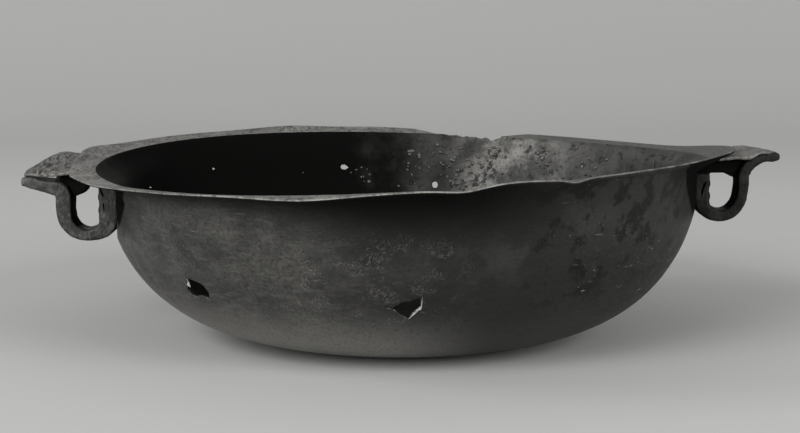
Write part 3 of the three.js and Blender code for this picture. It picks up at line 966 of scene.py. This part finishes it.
@dataclass(frozen=True)
class HandleFinish(SheetFinish):
    """A handle's iron: worn where a hand touches it, painted shade under the rim and towards the
    bowl.

    Spans are in metres: of half the bridge's width, of its height and of its distance from the
    middle of the bowl. The span of inward faces is the outward part of the normal times that
    distance.
    """

    # Painted shade on the bridge under the rim and on the faces turned to the bowl.
    bridge_wide: Span = (0.0087, 0.0072)
    bridge_up: Span = (0.085, 0.089)
    bridge_out: Span = (0.231, 0.227)
    inward_faces: Span = (-0.07, -0.15)

    def soot_and_shade(self, net: Net) -> Socket:
        """Returns painted shade on the bridge under the rim and on the faces turned to the bowl."""
        _, across, along, up = net.position()
        near = net.times(net.ramp(net.size_of(along), *self.bridge_wide),
                         net.ramp(net.size_of(across), *self.bridge_out))
        bridge = net.times(near, net.ramp(up, *self.bridge_up))
        facing = net.add("ShaderNodeSeparateXYZ")
        net.feed(facing.inputs["Vector"], net.add("ShaderNodeNewGeometry").outputs["Normal"])
        outwards = net.times(facing.outputs["X"], across)
        return net.most(bridge, net.ramp(outwards, *self.inward_faces))


@dataclass
class BowlShell:
    """The bowl: one raised sheet with its flat rim, its dents, its broken rim and its holes.

    Lengths are in millimetres and angles in degrees, but the hammer marks are in metres and the
    lip's bevel is a share of the sheet. The rim's finish starts a little inside the opening, on
    faces that do not look down.
    """

    form: BowlForm
    turn_steps: int = 360
    foot_rings: int = 5
    wall_rings: int = 44
    flare_rings: int = 12
    rim_rings: int = 6
    lip_bevel: float = 0.4
    rim_inside: float = 1.2
    level_normal: float = 0.3
    hammer_depth: float = 0.00022
    hammer_size: float = 0.028
    break_from: float = 68.0
    break_to: float = 83.0
    break_slant: float = 9.0
    break_stub: float = 1.2
    break_dip: float = 2.4
    break_steps: int = 44
    break_clear: float = 15.0
    hole_depth: float = 24.0
    hole_teeth: int = 4
    crack_azimuth: float = 22.0
    crack_height: float = 105.0
    crack_depth: float = 1.3
    crack_tool_depth: float = 2.4
    crack_outline: Outline = (
        (-0.2, 5.0), (0.9, 3.5), (0.8, 0.5), (1.4, -2.0), (0.5, -4.5), (-0.4, -1.5), (-0.6, 1.5),
    )
    holes: tuple[TornHole, ...] = (
        TornHole("front_left", 226.6, 52.5, (
            (-4.4, 6.5), (3.1, 5.5), (8.0, 3.5), (9.4, -0.9), (7.0, -5.3),
            (2.2, -4.5), (-0.6, -4.0), (-5.3, -5.5), (-8.5, -4.6), (-10.0, -0.8),
        )),
        TornHole("front_middle", 270.3, 48.6, (
            (-11.6, 0.8), (-6.4, 0.2), (-1.2, 3.5), (6.7, 5.5), (10.0, 6.5),
            (9.2, 0.1), (4.9, -3.7), (2.4, -7.4), (-1.8, -5.3), (-5.3, -1.9),
        ), 0.8),
        TornHole("back_round", 82.3, 78.2, (
            (-2.3, 0.4), (-1.4, 2.2), (0.6, 2.6), (2.4, 1.2),
            (2.3, -1.2), (0.7, -2.5), (-1.6, -2.0),
        )),
        TornHole("back_torn", 103.3, 91.0, (
            (-3.7, -0.7), (-2.5, 0.9), (-0.7, 2.0), (1.8, 1.8),
            (2.8, 0.3), (1.8, -1.4), (-0.8, -2.1),
        )),
        TornHole("pinhole_left", 135.6, 94.9, (
            (-0.9, 0.0), (0.0, 1.0), (1.0, 0.1), (0.0, -0.9),
        ), 0.0, -45.6),
        TornHole("pinhole_far_left", 159.3, 90.9, (
            (-0.8, 0.0), (0.0, 0.6), (0.9, 0.1), (0.1, -0.8),
        ), 0.0, -69.3),
    )

    def heights(self) -> list[float]:
        """Returns the heights of the wall's rings, close together where the wall flares."""
        form = self.form
        flare_start = form.rim_height - form.flare_height
        last_turn = math.acos((1.0 - flare_start / form.rim_height) ** (1.0 / form.wall_rise))
        rings = [
            form.rim_height * (1.0 - math.cos(last_turn * i / self.wall_rings) ** form.wall_rise)
            for i in range(self.wall_rings + 1)
        ]
        rise = form.flare_height - form.sheet
        rings += [flare_start + rise * i / self.flare_rings for i in range(1, self.flare_rings + 1)]
        return rings

    def profile(self) -> list[Vector]:
        """Returns the section of the sheet, from the middle of the foot round the rim and back."""
        form = self.form
        heights = self.heights()
        outer = [form.off_wall(height, 0.0) for height in heights]
        inner = [form.off_wall(height, -form.sheet) for height in reversed(heights)]
        outer[0] = Vector((form.foot_radius, 0.0))
        inner[-1] = Vector((form.foot_radius, form.sheet))
        under = form.rim_height - form.sheet
        outer[-1].y = under
        inner[0].y = form.rim_height
        edge = self.lip_bevel * form.sheet
        reach = form.rim_radius - outer[-1].x
        rim_out = [
            Vector((outer[-1].x + reach * i / self.rim_rings, under))
            for i in range(1, self.rim_rings)
        ]
        lip = [
            Vector((form.rim_radius - edge, under)),
            Vector((form.rim_radius, under + edge)),
            Vector((form.rim_radius, form.rim_height - edge)),
            Vector((form.rim_radius - edge, form.rim_height)),
        ]
        rim_in = [Vector((p.x, form.rim_height)) for p in reversed(rim_out)]
        reaches = [form.foot_radius * i / self.foot_rings for i in range(self.foot_rings)]
        foot_out = [Vector((reach, 0.0)) for reach in reaches]
        foot_in = [Vector((reach, form.sheet)) for reach in reversed(reaches)]
        return foot_out + outer + rim_out + lip + rim_in + inner + foot_in

    def blank(self) -> Shape:
        """Returns the bowl spun from its section, warped and hammered."""
        shape = bmesh.new()
        corners = [shape.verts.new((p.x * MM, 0.0, p.y * MM)) for p in self.profile()]
        edges = [shape.edges.new(pair) for pair in zip(corners, corners[1:])]
        bmesh.ops.spin(
            shape, geom=corners + edges, cent=(0, 0, 0), axis=(0, 0, 1), dvec=(0, 0, 0),
            angle=2.0 * math.pi, steps=self.turn_steps, use_merge=True,
        )
        bmesh.ops.remove_doubles(shape, verts=shape.verts, dist=WELD)
        bmesh.ops.recalc_face_normals(shape, faces=shape.faces)
        for vertex in shape.verts:
            vertex.co = self.form.warp(vertex.co / MM) * MM
        self.hammer(shape)
        return shape

    def hammer(self, shape: Shape) -> None:
        """Gives the wall the low facets and unevenness of hammering, alike on both faces."""
        foot = self.form.foot_radius * MM
        for vertex in shape.verts:
            radius = math.hypot(vertex.co.x, vertex.co.y)
            if radius < foot:
                continue
            turn = math.atan2(vertex.co.y, vertex.co.x)
            lift = rough(vertex.co, self.hammer_size, 3.0) * self.hammer_depth
            lift += rough(vertex.co, 3.0 * self.hammer_size, 8.0) * 3.0 * self.hammer_depth
            share = smooth_step(radius, foot, 2.0 * foot)
            inwards = -abs(lift) * share
            vertex.co += Vector((math.cos(turn), math.sin(turn), 0.0)) * inwards

    def cutter(self, name: str, outline: list[tuple[float, float]], azimuth: float, at: Vector,
               depth: float) -> Piece:
        """Returns a tool: an outline drawn upright at a point and pushed through the wall.

        Args:
            name: The tool's name.
            outline: Points across and up from the place, in millimetres.
            azimuth: The direction that the tool points to, in degrees.
            at: The place, in millimetres.
            depth: How long the tool is.

        Returns:
            The tool, which the cut removes.
        """
        corners = [(across * MM, 0.5 * depth * MM, up * MM) for across, up in outline]
        turn = Matrix.Rotation(math.radians(azimuth + 90.0), 4, "Z")
        return prism(name, corners, (0, -depth * MM, 0), Matrix.Translation(at * MM) @ turn)

    def ragged(self, hole: TornHole) -> list[tuple[float, float]]:
        """Returns a hole's outline with finer teeth between its corners."""
        if hole.raggedness == 0.0:
            return list(hole.outline)
        teeth = []
        count = len(hole.outline)
        for i, start in enumerate(hole.outline):
            end = hole.outline[(i + 1) % count]
            for step in range(self.hole_teeth):
                share = step / self.hole_teeth
                across = start[0] + (end[0] - start[0]) * share
                up = start[1] + (end[1] - start[1]) * share
                spot = Vector((across * 0.9, up * 0.9, hole.azimuth))
                jag = noise.noise_vector(spot) * hole.raggedness
                teeth.append((across + jag.x, up + jag.y))
        return teeth

    def break_places(self) -> list[tuple[float, float]]:
        """Returns the places along the break, each a share of its length and an azimuth."""
        steps, turn = self.break_steps, self.break_to - self.break_from
        return [(i / steps, self.break_from + turn * i / steps) for i in range(steps + 1)]

    def rim_tool(self) -> Piece:
        """Returns the tool that takes the flange off in plan, back to a ragged stub on the wall."""
        form = self.form
        beyond = 2.0 * form.rim_radius - form.opening
        plan = [(self.break_from - self.break_slant, beyond)]
        for share, azimuth in self.break_places():
            jag = noise.fractal(Vector((share * 9.0, 7.0, 1.0)), 0.8, 2.2, 4)
            plan.append((azimuth, form.opening + self.break_stub * (1.0 + 1.6 * jag)))
        plan.append((self.break_to + self.break_slant, beyond))
        low = (form.rim_height - self.break_clear) * MM
        high = (form.rim_height + self.break_clear) * MM
        corners = [
            (radius * MM * math.cos(math.radians(azimuth)),
             radius * MM * math.sin(math.radians(azimuth)), low)
            for azimuth, radius in plan
        ]
        return prism("tool_rim", corners, (0, 0, high - low))

    def edge_tool(self) -> Piece:
        """Returns the tool that takes the wall's edge down to a jagged line."""
        form = self.form
        half = form.opening * math.sin(math.radians(0.5 * (self.break_to - self.break_from)))
        outline = [(half, self.break_clear), (-half, self.break_clear)]
        for share, azimuth in self.break_places():
            jag = noise.fractal(Vector((share * 11.0, 4.0, 1.0)), 0.8, 2.2, 4)
            dip = self.break_dip * (1.0 - share) * (1.0 + 0.8 * jag) + 0.4 * max(0.0, jag)
            outline.append((half * (2.0 * share - 1.0), form.rim_rise(azimuth) - dip))
        middle = 0.5 * (self.break_from + self.break_to)
        turn = math.radians(middle)
        at = Vector((form.opening * math.cos(turn), form.opening * math.sin(turn), form.rim_height))
        return self.cutter("tool_edge", outline, middle, at, 2.0 * self.break_clear)

    def crack_tool(self) -> Piece:
        """Returns the tool for the crack that runs down the inner face on the right."""
        depth = self.crack_tool_depth
        off = -(self.form.sheet + 0.5 * depth - self.crack_depth)
        at = self.form.place(self.crack_azimuth, self.crack_height, off)
        return self.cutter("tool_crack", list(self.crack_outline), self.crack_azimuth, at, depth)

    def cut(self, piece: Piece) -> None:
        """Cuts the holes, the broken stretch of rim and the crack out of the bowl, one by one."""
        tools = []
        for hole in self.holes:
            at = self.form.place(hole.azimuth, hole.height)
            towards = hole.azimuth + hole.lean
            name = f"tool_{hole.name}"
            tools.append(self.cutter(name, self.ragged(hole), towards, at, self.hole_depth))
        tools += [self.rim_tool(), self.edge_tool(), self.crack_tool()]
        for tool in tools:
            cut_with(piece, tool)

    def build(self) -> Piece:
        """Returns the finished bowl."""
        piece = link("bowl", to_mesh("bowl", self.blank()))
        self.cut(piece)
        return piece

    def dress(self, piece: Piece, outside: Material, inside: Material, rim: Material) -> None:
        """Gives the outer face, the inner face and the rim their finishes."""
        cover(piece, outside, inside, rim)
        rim_from = (self.form.opening - self.rim_inside) * MM
        for face in piece.data.polygons:
            middle, normal = face.center, face.normal
            outwards = normal.x * middle.x + normal.y * middle.y
            if math.hypot(middle.x, middle.y) > rim_from and normal.z > -self.level_normal:
                face.material_index = 2
            elif outwards < 0.0 or normal.z > self.level_normal:
                face.material_index = 1
            else:
                face.material_index = 0


@dataclass(frozen=True)
class BlisterField:
    """A field of rust blisters on the inner wall, in millimetres and degrees.

    It has a middle, how wide and tall the blisters spread round it, their count and their size.
    """

    azimuth: float
    height: float
    wide: float
    tall: float
    count: int
    size: float


@dataclass
class Blisters:
    """Rust blisters: low round lumps, each sunk a little into the inner face of the wall.

    They keep a margin off the holes and the rim and stop at their lowest height, in millimetres.
    """

    form: BowlForm
    holes: tuple[TornHole, ...]
    seed: int = 5
    margin: float = 5.0
    rim_margin: float = 4.0
    lowest: float = 45.0
    sizes: Span = (0.55, 1.5)
    stretches: Span = (0.8, 1.3)
    flatness: float = 0.7
    proud: float = 0.35
    unevenness: float = 0.16
    grain: float = 0.6
    fields: tuple[BlisterField, ...] = (
        BlisterField(99.0, 90.0, 7.0, 12.0, 7, 0.7),
        BlisterField(98.0, 82.0, 1.2, 4.0, 4, 0.8),
        BlisterField(87.0, 92.0, 1.3, 7.0, 14, 1.1),
        BlisterField(79.5, 101.0, 2.6, 4.5, 22, 1.05),
        BlisterField(78.0, 81.0, 1.5, 3.5, 14, 1.1),
        BlisterField(72.0, 96.0, 5.0, 10.0, 34, 0.95),
        BlisterField(58.0, 106.0, 1.6, 3.5, 12, 1.25),
        BlisterField(56.0, 97.0, 1.3, 3.0, 8, 1.2),
        BlisterField(45.5, 96.0, 1.6, 4.0, 10, 1.1),
        BlisterField(56.0, 100.0, 10.0, 9.0, 26, 0.85),
    )

    def build(self) -> Piece:
        """Returns the blisters of all the fields as one object."""
        draw = random.Random(self.seed)
        shape = bmesh.new()
        for field_of in self.fields:
            for _ in range(field_of.count):
                azimuth = draw.gauss(field_of.azimuth, field_of.wide)
                height = draw.gauss(field_of.height, field_of.tall)
                size = field_of.size * draw.uniform(*self.sizes)
                if not self.lowest < height < self.form.rim_height - self.rim_margin:
                    continue
                wide, tall = draw.uniform(*self.stretches), draw.uniform(*self.stretches)
                if self.is_clear(azimuth, height):
                    self.lump(shape, azimuth, height, size, (wide, tall))
        return link("blisters", to_mesh("blisters", shape))

    def is_clear(self, azimuth: float, height: float) -> bool:
        """Returns whether a place on the wall is clear of every hole."""
        radius = self.form.wall_radius(height)
        away = (
            math.hypot(math.radians(azimuth - hole.azimuth) * radius, height - hole.height)
            for hole in self.holes
        )
        return min(away) > self.margin

    def lump(self, shape: Shape, azimuth: float, height: float, size: float, ways: Span) -> None:
        """Adds one blister: a squashed ball with an uneven skin, most of it above the sheet.

        Args:
            shape: The bmesh that it is added to.
            azimuth: Its direction from the axis, in degrees.
            height: Its height on the true round bowl.
            size: Its radius before it is stretched.
            ways: How far it is stretched along the wall and up it.
        """
        on_face = self.form.place(azimuth, height, -self.form.sheet)
        inwards = (on_face - self.form.place(azimuth, height)).normalized()
        lie = inwards.to_track_quat("Z", "Y").to_matrix().to_4x4()
        stretch = Matrix.Diagonal((size * ways[0], size * ways[1], self.flatness * size, 1.0))
        at = Matrix.Translation((on_face + inwards * self.proud) * MM)
        made = bmesh.ops.create_icosphere(
            shape, subdivisions=2, radius=MM, matrix=at @ lie @ stretch)
        for vertex in made["verts"]:
            jog = noise.noise_vector(vertex.co / (self.grain * MM))
            vertex.co += jog * (self.unevenness * size * MM)


@dataclass(frozen=True)
class Burr:
    """A curl of torn sheet along the edge of a hole, brighter than the wall round it.

    Its path is drawn across and up from a place on the wall, in millimetres. It lifts off the
    wall, and its width swells in the middle and is jagged.
    """

    name: str
    azimuth: float
    height: float
    path: Outline
    width: float
    lift: float
    jag: float = 0.25
    steps: int = 16

    def along(self, share: float) -> tuple[Vector, Vector]:
        """Returns the point of the path at a share of its length, and its left-hand direction."""
        spans = len(self.path) - 1
        at = min(share * spans, spans - 1e-6)
        start, end = (Vector(self.path[int(at) + i]) for i in (0, 1))
        run = (end - start).normalized()
        return start.lerp(end, at - int(at)), Vector((-run.y, run.x))

    def build(self, form: BowlForm) -> Piece:
        """Returns the burr as a closed sliver that stands on the wall of the bowl."""
        to_turn = math.degrees(1.0 / form.wall_radius(self.height))
        shape = bmesh.new()
        rings = []
        for i in range(self.steps + 1):
            share = i / self.steps
            point, side = self.along(share)
            swell = math.sin(math.pi * min(max(share, 0.06), 0.94))
            sample = Vector((share * 14.0, self.azimuth, 0.0))
            jog = 1.0 + self.jag * noise.fractal(sample, 0.7, 2.0, 3)
            ring = []
            for reach, off in ((-0.2, -0.7), (1.0, self.lift), (0.8, self.lift - 0.5)):
                spot = point + side * (self.width * swell * jog * reach)
                turn = self.azimuth + spot.x * to_turn
                place = form.place(turn, self.height + spot.y, off * swell)
                ring.append(shape.verts.new(place * MM))
            rings.append(ring)
        for near, far in zip(rings, rings[1:]):
            for i in range(3):
                shape.faces.new((near[i], near[(i + 1) % 3], far[(i + 1) % 3], far[i]))
        shape.faces.new(rings[0])
        shape.faces.new(rings[-1])
        bmesh.ops.recalc_face_normals(shape, faces=shape.faces)
        return link(self.name, to_mesh(self.name, shape, smooth=False))


@dataclass(frozen=True)
class Slit:
    """An open forging lap in the front of a bar, in millimetres.

    It has an outline in x and z and a depth. The bar's front is looked for within its nearness.
    """

    outline: Outline
    depth: float = 2.2
    nearness: float = 2.5
    run_up: float = 10.0


@dataclass
class ForgedPiece:
    """A forged iron piece, worked up from its node: rounded, pitted and uneven from hammering.

    Its lengths are in metres.
    """

    name: str
    node: str
    voxel: float = 0.0007
    rounding: int = 4
    lump_depth: float = 0.0003
    lump_size: float = 0.009
    pit_depth: float = 0.00012
    pit_size: float = 0.002
    seed: float = 1.0
    slits: tuple[Slit, ...] = ()

    def build(self, frame: dict) -> Piece:
        """Returns the piece, worked up from a copy of its node.


        Returns:
            The finished object.
        """
        shape = bmesh.new()
        shape.from_mesh(frame["nodes"][self.node].data)
        bmesh.ops.remove_doubles(shape, verts=shape.verts, dist=WELD)
        piece = link(self.name, to_mesh(self.name, shape))
        remesh = piece.modifiers.new("skin", "REMESH")
        remesh.mode = "VOXEL"
        remesh.voxel_size = self.voxel
        apply_modifiers(piece)
        self.work(piece.data)
        for slit in self.slits:
            self.open_slit(piece, slit)
        return piece

    @staticmethod
    def open_slit(piece: Piece, slit: Slit) -> None:
        """Cuts a slit into the front of the piece."""
        x_middle, z_middle = (sum(values) / len(values) * MM for values in zip(*slit.outline))
        front = min(
            v.co.y for v in piece.data.vertices
            if math.hypot(v.co.x - x_middle, v.co.z - z_middle) < slit.nearness * MM
        )
        run_up = slit.run_up * MM
        corners = [(x * MM, front - run_up, z * MM) for x, z in slit.outline]
        cut_with(piece, prism("tool_slit", corners, (0, run_up + slit.depth * MM, 0)))

    def work(self, data: bpy.types.Mesh) -> None:
        """Rounds the edges and then sinks lumps and pits into the surface."""
        shape = bmesh.new()
        shape.from_mesh(data)
        for _ in range(self.rounding):
            bmesh.ops.smooth_vert(shape, verts=shape.verts, factor=0.5,
                                  use_axis_x=True, use_axis_y=True, use_axis_z=True)
        shape.normal_update()
        for vertex in shape.verts:
            lump = rough(vertex.co, self.lump_size, self.seed) * self.lump_depth
            low = min(0.0, rough(vertex.co, self.pit_size, self.seed + 5.0) + 0.1)
            pit = low * 2.0 * self.pit_depth
            vertex.co += vertex.normal * (min(lump, 0.5 * self.lump_depth) + pit)
        shape.to_mesh(data)
        shape.free()
        for face in data.polygons:
            face.use_smooth = True


@dataclass(frozen=True)
class Lamp:
    """A square area light that faces the bowl: its place, its size and its power."""

    name: str
    at: tuple[float, float, float]
    size: float
    power: float


@dataclass
class Studio:
    """The pale floor, the soft lights and the camera at the photograph's viewing angle.

    Lengths are in metres. The floor runs from its front edge to the bend, which turns it up into
    a low backdrop in steps of a few degrees.
    """

    focal_pixels: float = 1850.0
    frame_width: float = 800.0
    sensor: float = 36.0
    camera_at: tuple[float, float, float] = (-0.00146, -1.2322, 0.2432)
    pitch_down: float = 0.133
    floor_half: float = 6.0
    bend_from: float = 1.4
    bend_radius: float = 1.2
    bend_step: float = 6.0
    bend_steps: int = 9
    floor_colour: tuple[float, float, float] = (0.50, 0.50, 0.491)
    floor_patches: Patches = Patches(1.5, 3.0, 0.5, 0.3, 0.7)
    floor_shade: float = 0.97
    floor_roughness: float = 0.9
    backdrop_colour: tuple[float, float, float] = (0.40, 0.40, 0.393)
    backdrop_span: Span = (0.2, 2.4)
    world_level: float = 0.38
    aim: tuple[float, float, float] = (0.0, 0.0, 0.05)
    lamps: tuple[Lamp, ...] = (
        Lamp("key", (-6.44, -0.68, 4.53), 3.0, 105.0),
        Lamp("left_fill", (-2.6, -3.72, 2.12), 2.5, 185.0),
        Lamp("right_fill", (3.4, -3.2, 1.9), 2.5, 145.0),
    )

    def build(self) -> None:
        """Builds the floor, the lights, the world and the camera."""
        self.build_floor()
        for lamp in self.lamps:
            self.build_lamp(lamp)
        self.build_world()
        self.build_camera()

    def build_floor(self) -> None:
        """Makes one seamless sweep: a floor that curves up into a low backdrop."""
        half, start, bend = self.floor_half, self.bend_from, self.bend_radius
        turns = [math.radians(self.bend_step * i) for i in range(1, self.bend_steps + 1)]
        section = [(-half, 0.0), (start, 0.0)]
        section += [(start + bend * math.sin(t), bend - bend * math.cos(t)) for t in turns]
        shape = bmesh.new()
        corners = [shape.verts.new((-half, y, z)) for y, z in section]
        edges = [shape.edges.new(pair) for pair in zip(corners, corners[1:])]
        pulled = bmesh.ops.extrude_edge_only(shape, edges=edges)
        moved = [item for item in pulled["geom"] if isinstance(item, bmesh.types.BMVert)]
        bmesh.ops.translate(shape, verts=moved, vec=(2.0 * half, 0, 0))
        bmesh.ops.recalc_face_normals(shape, faces=shape.faces)
        sweep = link("sweep", to_mesh("sweep", shape))
        material = bpy.data.materials.new("pale_paper")
        material.use_nodes = True
        net = Net(material.node_tree)
        shader = material.node_tree.nodes["Principled BSDF"]
        shader.inputs["Roughness"].default_value = self.floor_roughness
        where, _, back, _ = net.position()
        darker = tuple(self.floor_shade * value for value in self.floor_colour)
        floor = net.mix(net.patches(where, self.floor_patches), darker, self.floor_colour)
        away = net.ramp(back, *self.backdrop_span)
        net.feed(shader.inputs["Base Color"], net.mix(away, floor, self.backdrop_colour))
        cover(sweep, material)
        sweep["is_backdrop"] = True

    def build_lamp(self, lamp: Lamp) -> None:
        """Puts up one light that faces the bowl."""
        light = bpy.data.lights.new(lamp.name, "AREA")
        light.size = lamp.size
        light.energy = lamp.power
        holder = link(lamp.name, light)
        holder.location = lamp.at
        facing = Vector(self.aim) - Vector(lamp.at)
        holder.rotation_euler = facing.to_track_quat("-Z", "Y").to_euler()

    def build_world(self) -> None:
        """Makes a plain white world."""
        world = bpy.data.worlds.new("studio")
        world.use_nodes = True
        background = world.node_tree.nodes["Background"]
        background.inputs["Color"].default_value = (1.0, 1.0, 1.0, 1.0)
        background.inputs["Strength"].default_value = self.world_level
        bpy.context.scene.world = world

    def build_camera(self) -> None:
        """Sets the camera that the photograph was taken with."""
        lens = bpy.data.cameras.new("camera")
        lens.sensor_width = self.sensor
        lens.sensor_fit = "HORIZONTAL"
        lens.lens = self.focal_pixels / self.frame_width * self.sensor
        camera = link("camera", lens)
        camera.location = self.camera_at
        camera.rotation_euler = (0.5 * math.pi - self.pitch_down, 0.0, 0.0)
        bpy.context.scene.camera = camera


FORM = BowlForm(
    rim_bumps=(Bump(279.0, 2.6, -1.8), Bump(287.0, 4.0, 1.4), Bump(212.0, 6.0, -0.8)),
    lip_bumps=(
        Bump(255.0, 6.0, -2.2), Bump(300.0, 20.0, 0.6), Bump(113.0, 6.0, 2.0), Bump(96.0, 5.0, 1.0),
        Bump(296.5, 1.3, -1.8), Bump(27.0, 9.0, -2.0), Bump(46.0, 9.0, -0.9),
    ),
    dents=(
        Dent(216.0, 60.0, 16.0, 9.0, 0.9),
        Dent(246.0, 24.0, 11.0, 2.6, 1.0),
        Dent(204.0, 62.0, 2.4, 9.0, 0.9),
        Dent(209.0, 50.0, 2.4, 8.0, 0.8),
        Dent(213.5, 40.0, 2.6, 7.0, 0.7),
        Dent(295.0, 15.0, 10.0, 5.0, 0.5),
    ),
)
BURRS = (
    Burr("flap_left", 226.6, 52.5, ((-4.4, 6.5), (-8.0, 1.8)), 3.6, 0.9),
    Burr("burr_middle", 270.3, 48.6, (
        (10.3, 6.9), (9.6, 0.3), (5.3, -3.9), (2.8, -7.8),
    ), 0.7, 0.6, 0.6),
)
LAPS = {
    Side.LEFT: (
        Slit((
            (-202.6, 99.4), (-201.3, 98.9), (-199.3, 96.0),
            (-198.4, 92.6), (-199.4, 93.0), (-201.0, 96.0),
        )),
        Slit(((-199.3, 88.6), (-198.5, 88.2), (-198.2, 85.6), (-198.7, 83.6), (-199.2, 85.8))),
    ),
    Side.RIGHT: (
        Slit((
            (202.6, 103.8), (200.3, 101.2), (199.1, 98.0), (198.6, 95.0),
            (199.4, 92.2), (199.9, 95.0), (200.6, 98.0), (201.8, 101.0),
        )),
    ),
}
OUTSIDE = WallFinish(
    "bowl_outside", dark=0.048, light=0.100, bare=0.26, metallic=0.5, specular=0.35,
    rough_low=0.40, rough_high=0.58, scratches=1.0, blotch_scale=42.0, bump=0.6)
INSIDE = InsideFinish(
    "bowl_inside", dark=0.025, light=0.055, bare=0.2, rough_low=0.5, rough_high=0.75)
RIM = RimFinish(
    "bowl_rim", dark=0.13, light=0.24, bare=0.40, blotch_scale=45.0, edges=0.9, grain=0.7)
RUST = IronFinish(
    "rust_blister", dark=0.016, light=0.06, bare=0.16, metallic=0.3, blotch_scale=300.0,
    rough_low=0.3, rough_high=0.5)
TORN = IronFinish("torn_edge", dark=0.22, light=0.42, bare=0.5, metallic=0.2, blotch_scale=400.0)
PLATES = {
    Side.LEFT: SheetFinish(
        "left_plate_iron", dark=0.11, light=0.20, bare=0.32, blotch_scale=90.0,
        pit_amount=0.7, grain=0.95),
    Side.RIGHT: SheetFinish(
        "right_plate_iron", dark=0.125, light=0.185, bare=0.3, blotch_scale=60.0,
        pit_amount=0.4, grain=0.5, edges=0.15),
}
# Lit and shaded copies of one iron: the left handle lighter where the light falls, the right one
# painted dark and dull as shade.
BARS = {
    Side.LEFT: HandleFinish(
        "left_handle_iron_lit", dark=0.020, light=0.094, bare=0.34, blotch_scale=110.0,
        edges=0.9, grain=0.8, stretch=(1.0, 1.0, 0.5)),
    Side.RIGHT: HandleFinish(
        "right_handle_iron_shaded", dark=0.006, light=0.026, bare=0.2, blotch_scale=80.0,
        edges=0.9, grain=0.5, stretch=(1.0, 1.0, 1.0), specular=0.15, metallic=0.1),
}


def report_box(label: str, corners: tuple) -> None:
    """Logs the size of a box in millimetres."""
    low, high = corners
    LOG.info("%s box %s mm", label, [round((b - a) / MM, 1) for a, b in zip(low, high)])


def keep(piece: Piece, node: str) -> None:
    """Rides a piece on the body, lets it stand for its node and logs it."""
    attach(piece, "root")
    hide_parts(node)
    LOG.info("%s stands for %s with %d faces", piece.name, node, len(piece.data.polygons))


def build_bowl(wear: Wear) -> None:
    """Builds the bowl with its blisters and burrs.

    Args:
        wear: The shared node groups.
    """
    shell = BowlShell(FORM)
    bowl = shell.build()
    shell.dress(bowl, OUTSIDE.build(wear), INSIDE.build(wear), RIM.build(wear))
    keep(bowl, "bowl_shell")
    trims = [(Blisters(FORM, shell.holes).build(), RUST.build(wear))]
    torn = TORN.build(wear)
    trims += [(burr.build(FORM), torn) for burr in BURRS]
    for trim, material in trims:
        cover(trim, material)
        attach(trim, "root")


def build_side(side: Side, frame: dict, wear: Wear) -> None:
    """Builds one side's handle, thumb plate and rivets.

    Args:
        side: Which side.
        wear: The shared node groups.
    """
    title = side.name.lower()
    bar, plate = BARS[side].build(wear), PLATES[side].build(wear)
    for part, material, slot, seed, slits in (
        ("handle", bar, "handle_iron", 2.0, LAPS[side]),
        ("thumb_plate", plate, "plate_iron", 6.0, ()),
    ):
        node = f"{title}_{part}"
        forged = ForgedPiece(f"{title}_forged_{part}", node, seed=seed + side.value, slits=slits)
        piece = forged.build(frame)
        cover(piece, material)
        keep(piece, node)
    for place in ("upper", "lower"):
        node = f"{title}_{place}_rivet"
        name = f"{title}_{place}_peened_rivet"
        piece = ForgedPiece(name, node, voxel=0.0004, lump_depth=0.0001).build(frame)
        cover(piece, bar)
        keep(piece, node)


def main() -> None:
    """Builds every piece around the frame and reports each one."""
    logging.basicConfig(level=logging.INFO, format="%(message)s")
    # Vector noise is otherwise seeded from the clock, and each run would tear the holes anew.
    noise.seed_set(NOISE_SEED)
    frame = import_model()
    frame_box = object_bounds()
    bpy.context.scene.view_settings.view_transform = "Standard"
    Studio().build()
    wear = Wear()
    wear.build()
    build_bowl(wear)
    for side in Side:
        build_side(side, frame, wear)
    dressed_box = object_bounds()
    report_box("frame", frame_box)
    report_box("dressed", dressed_box)


if __name__ == "__main__":
    main()
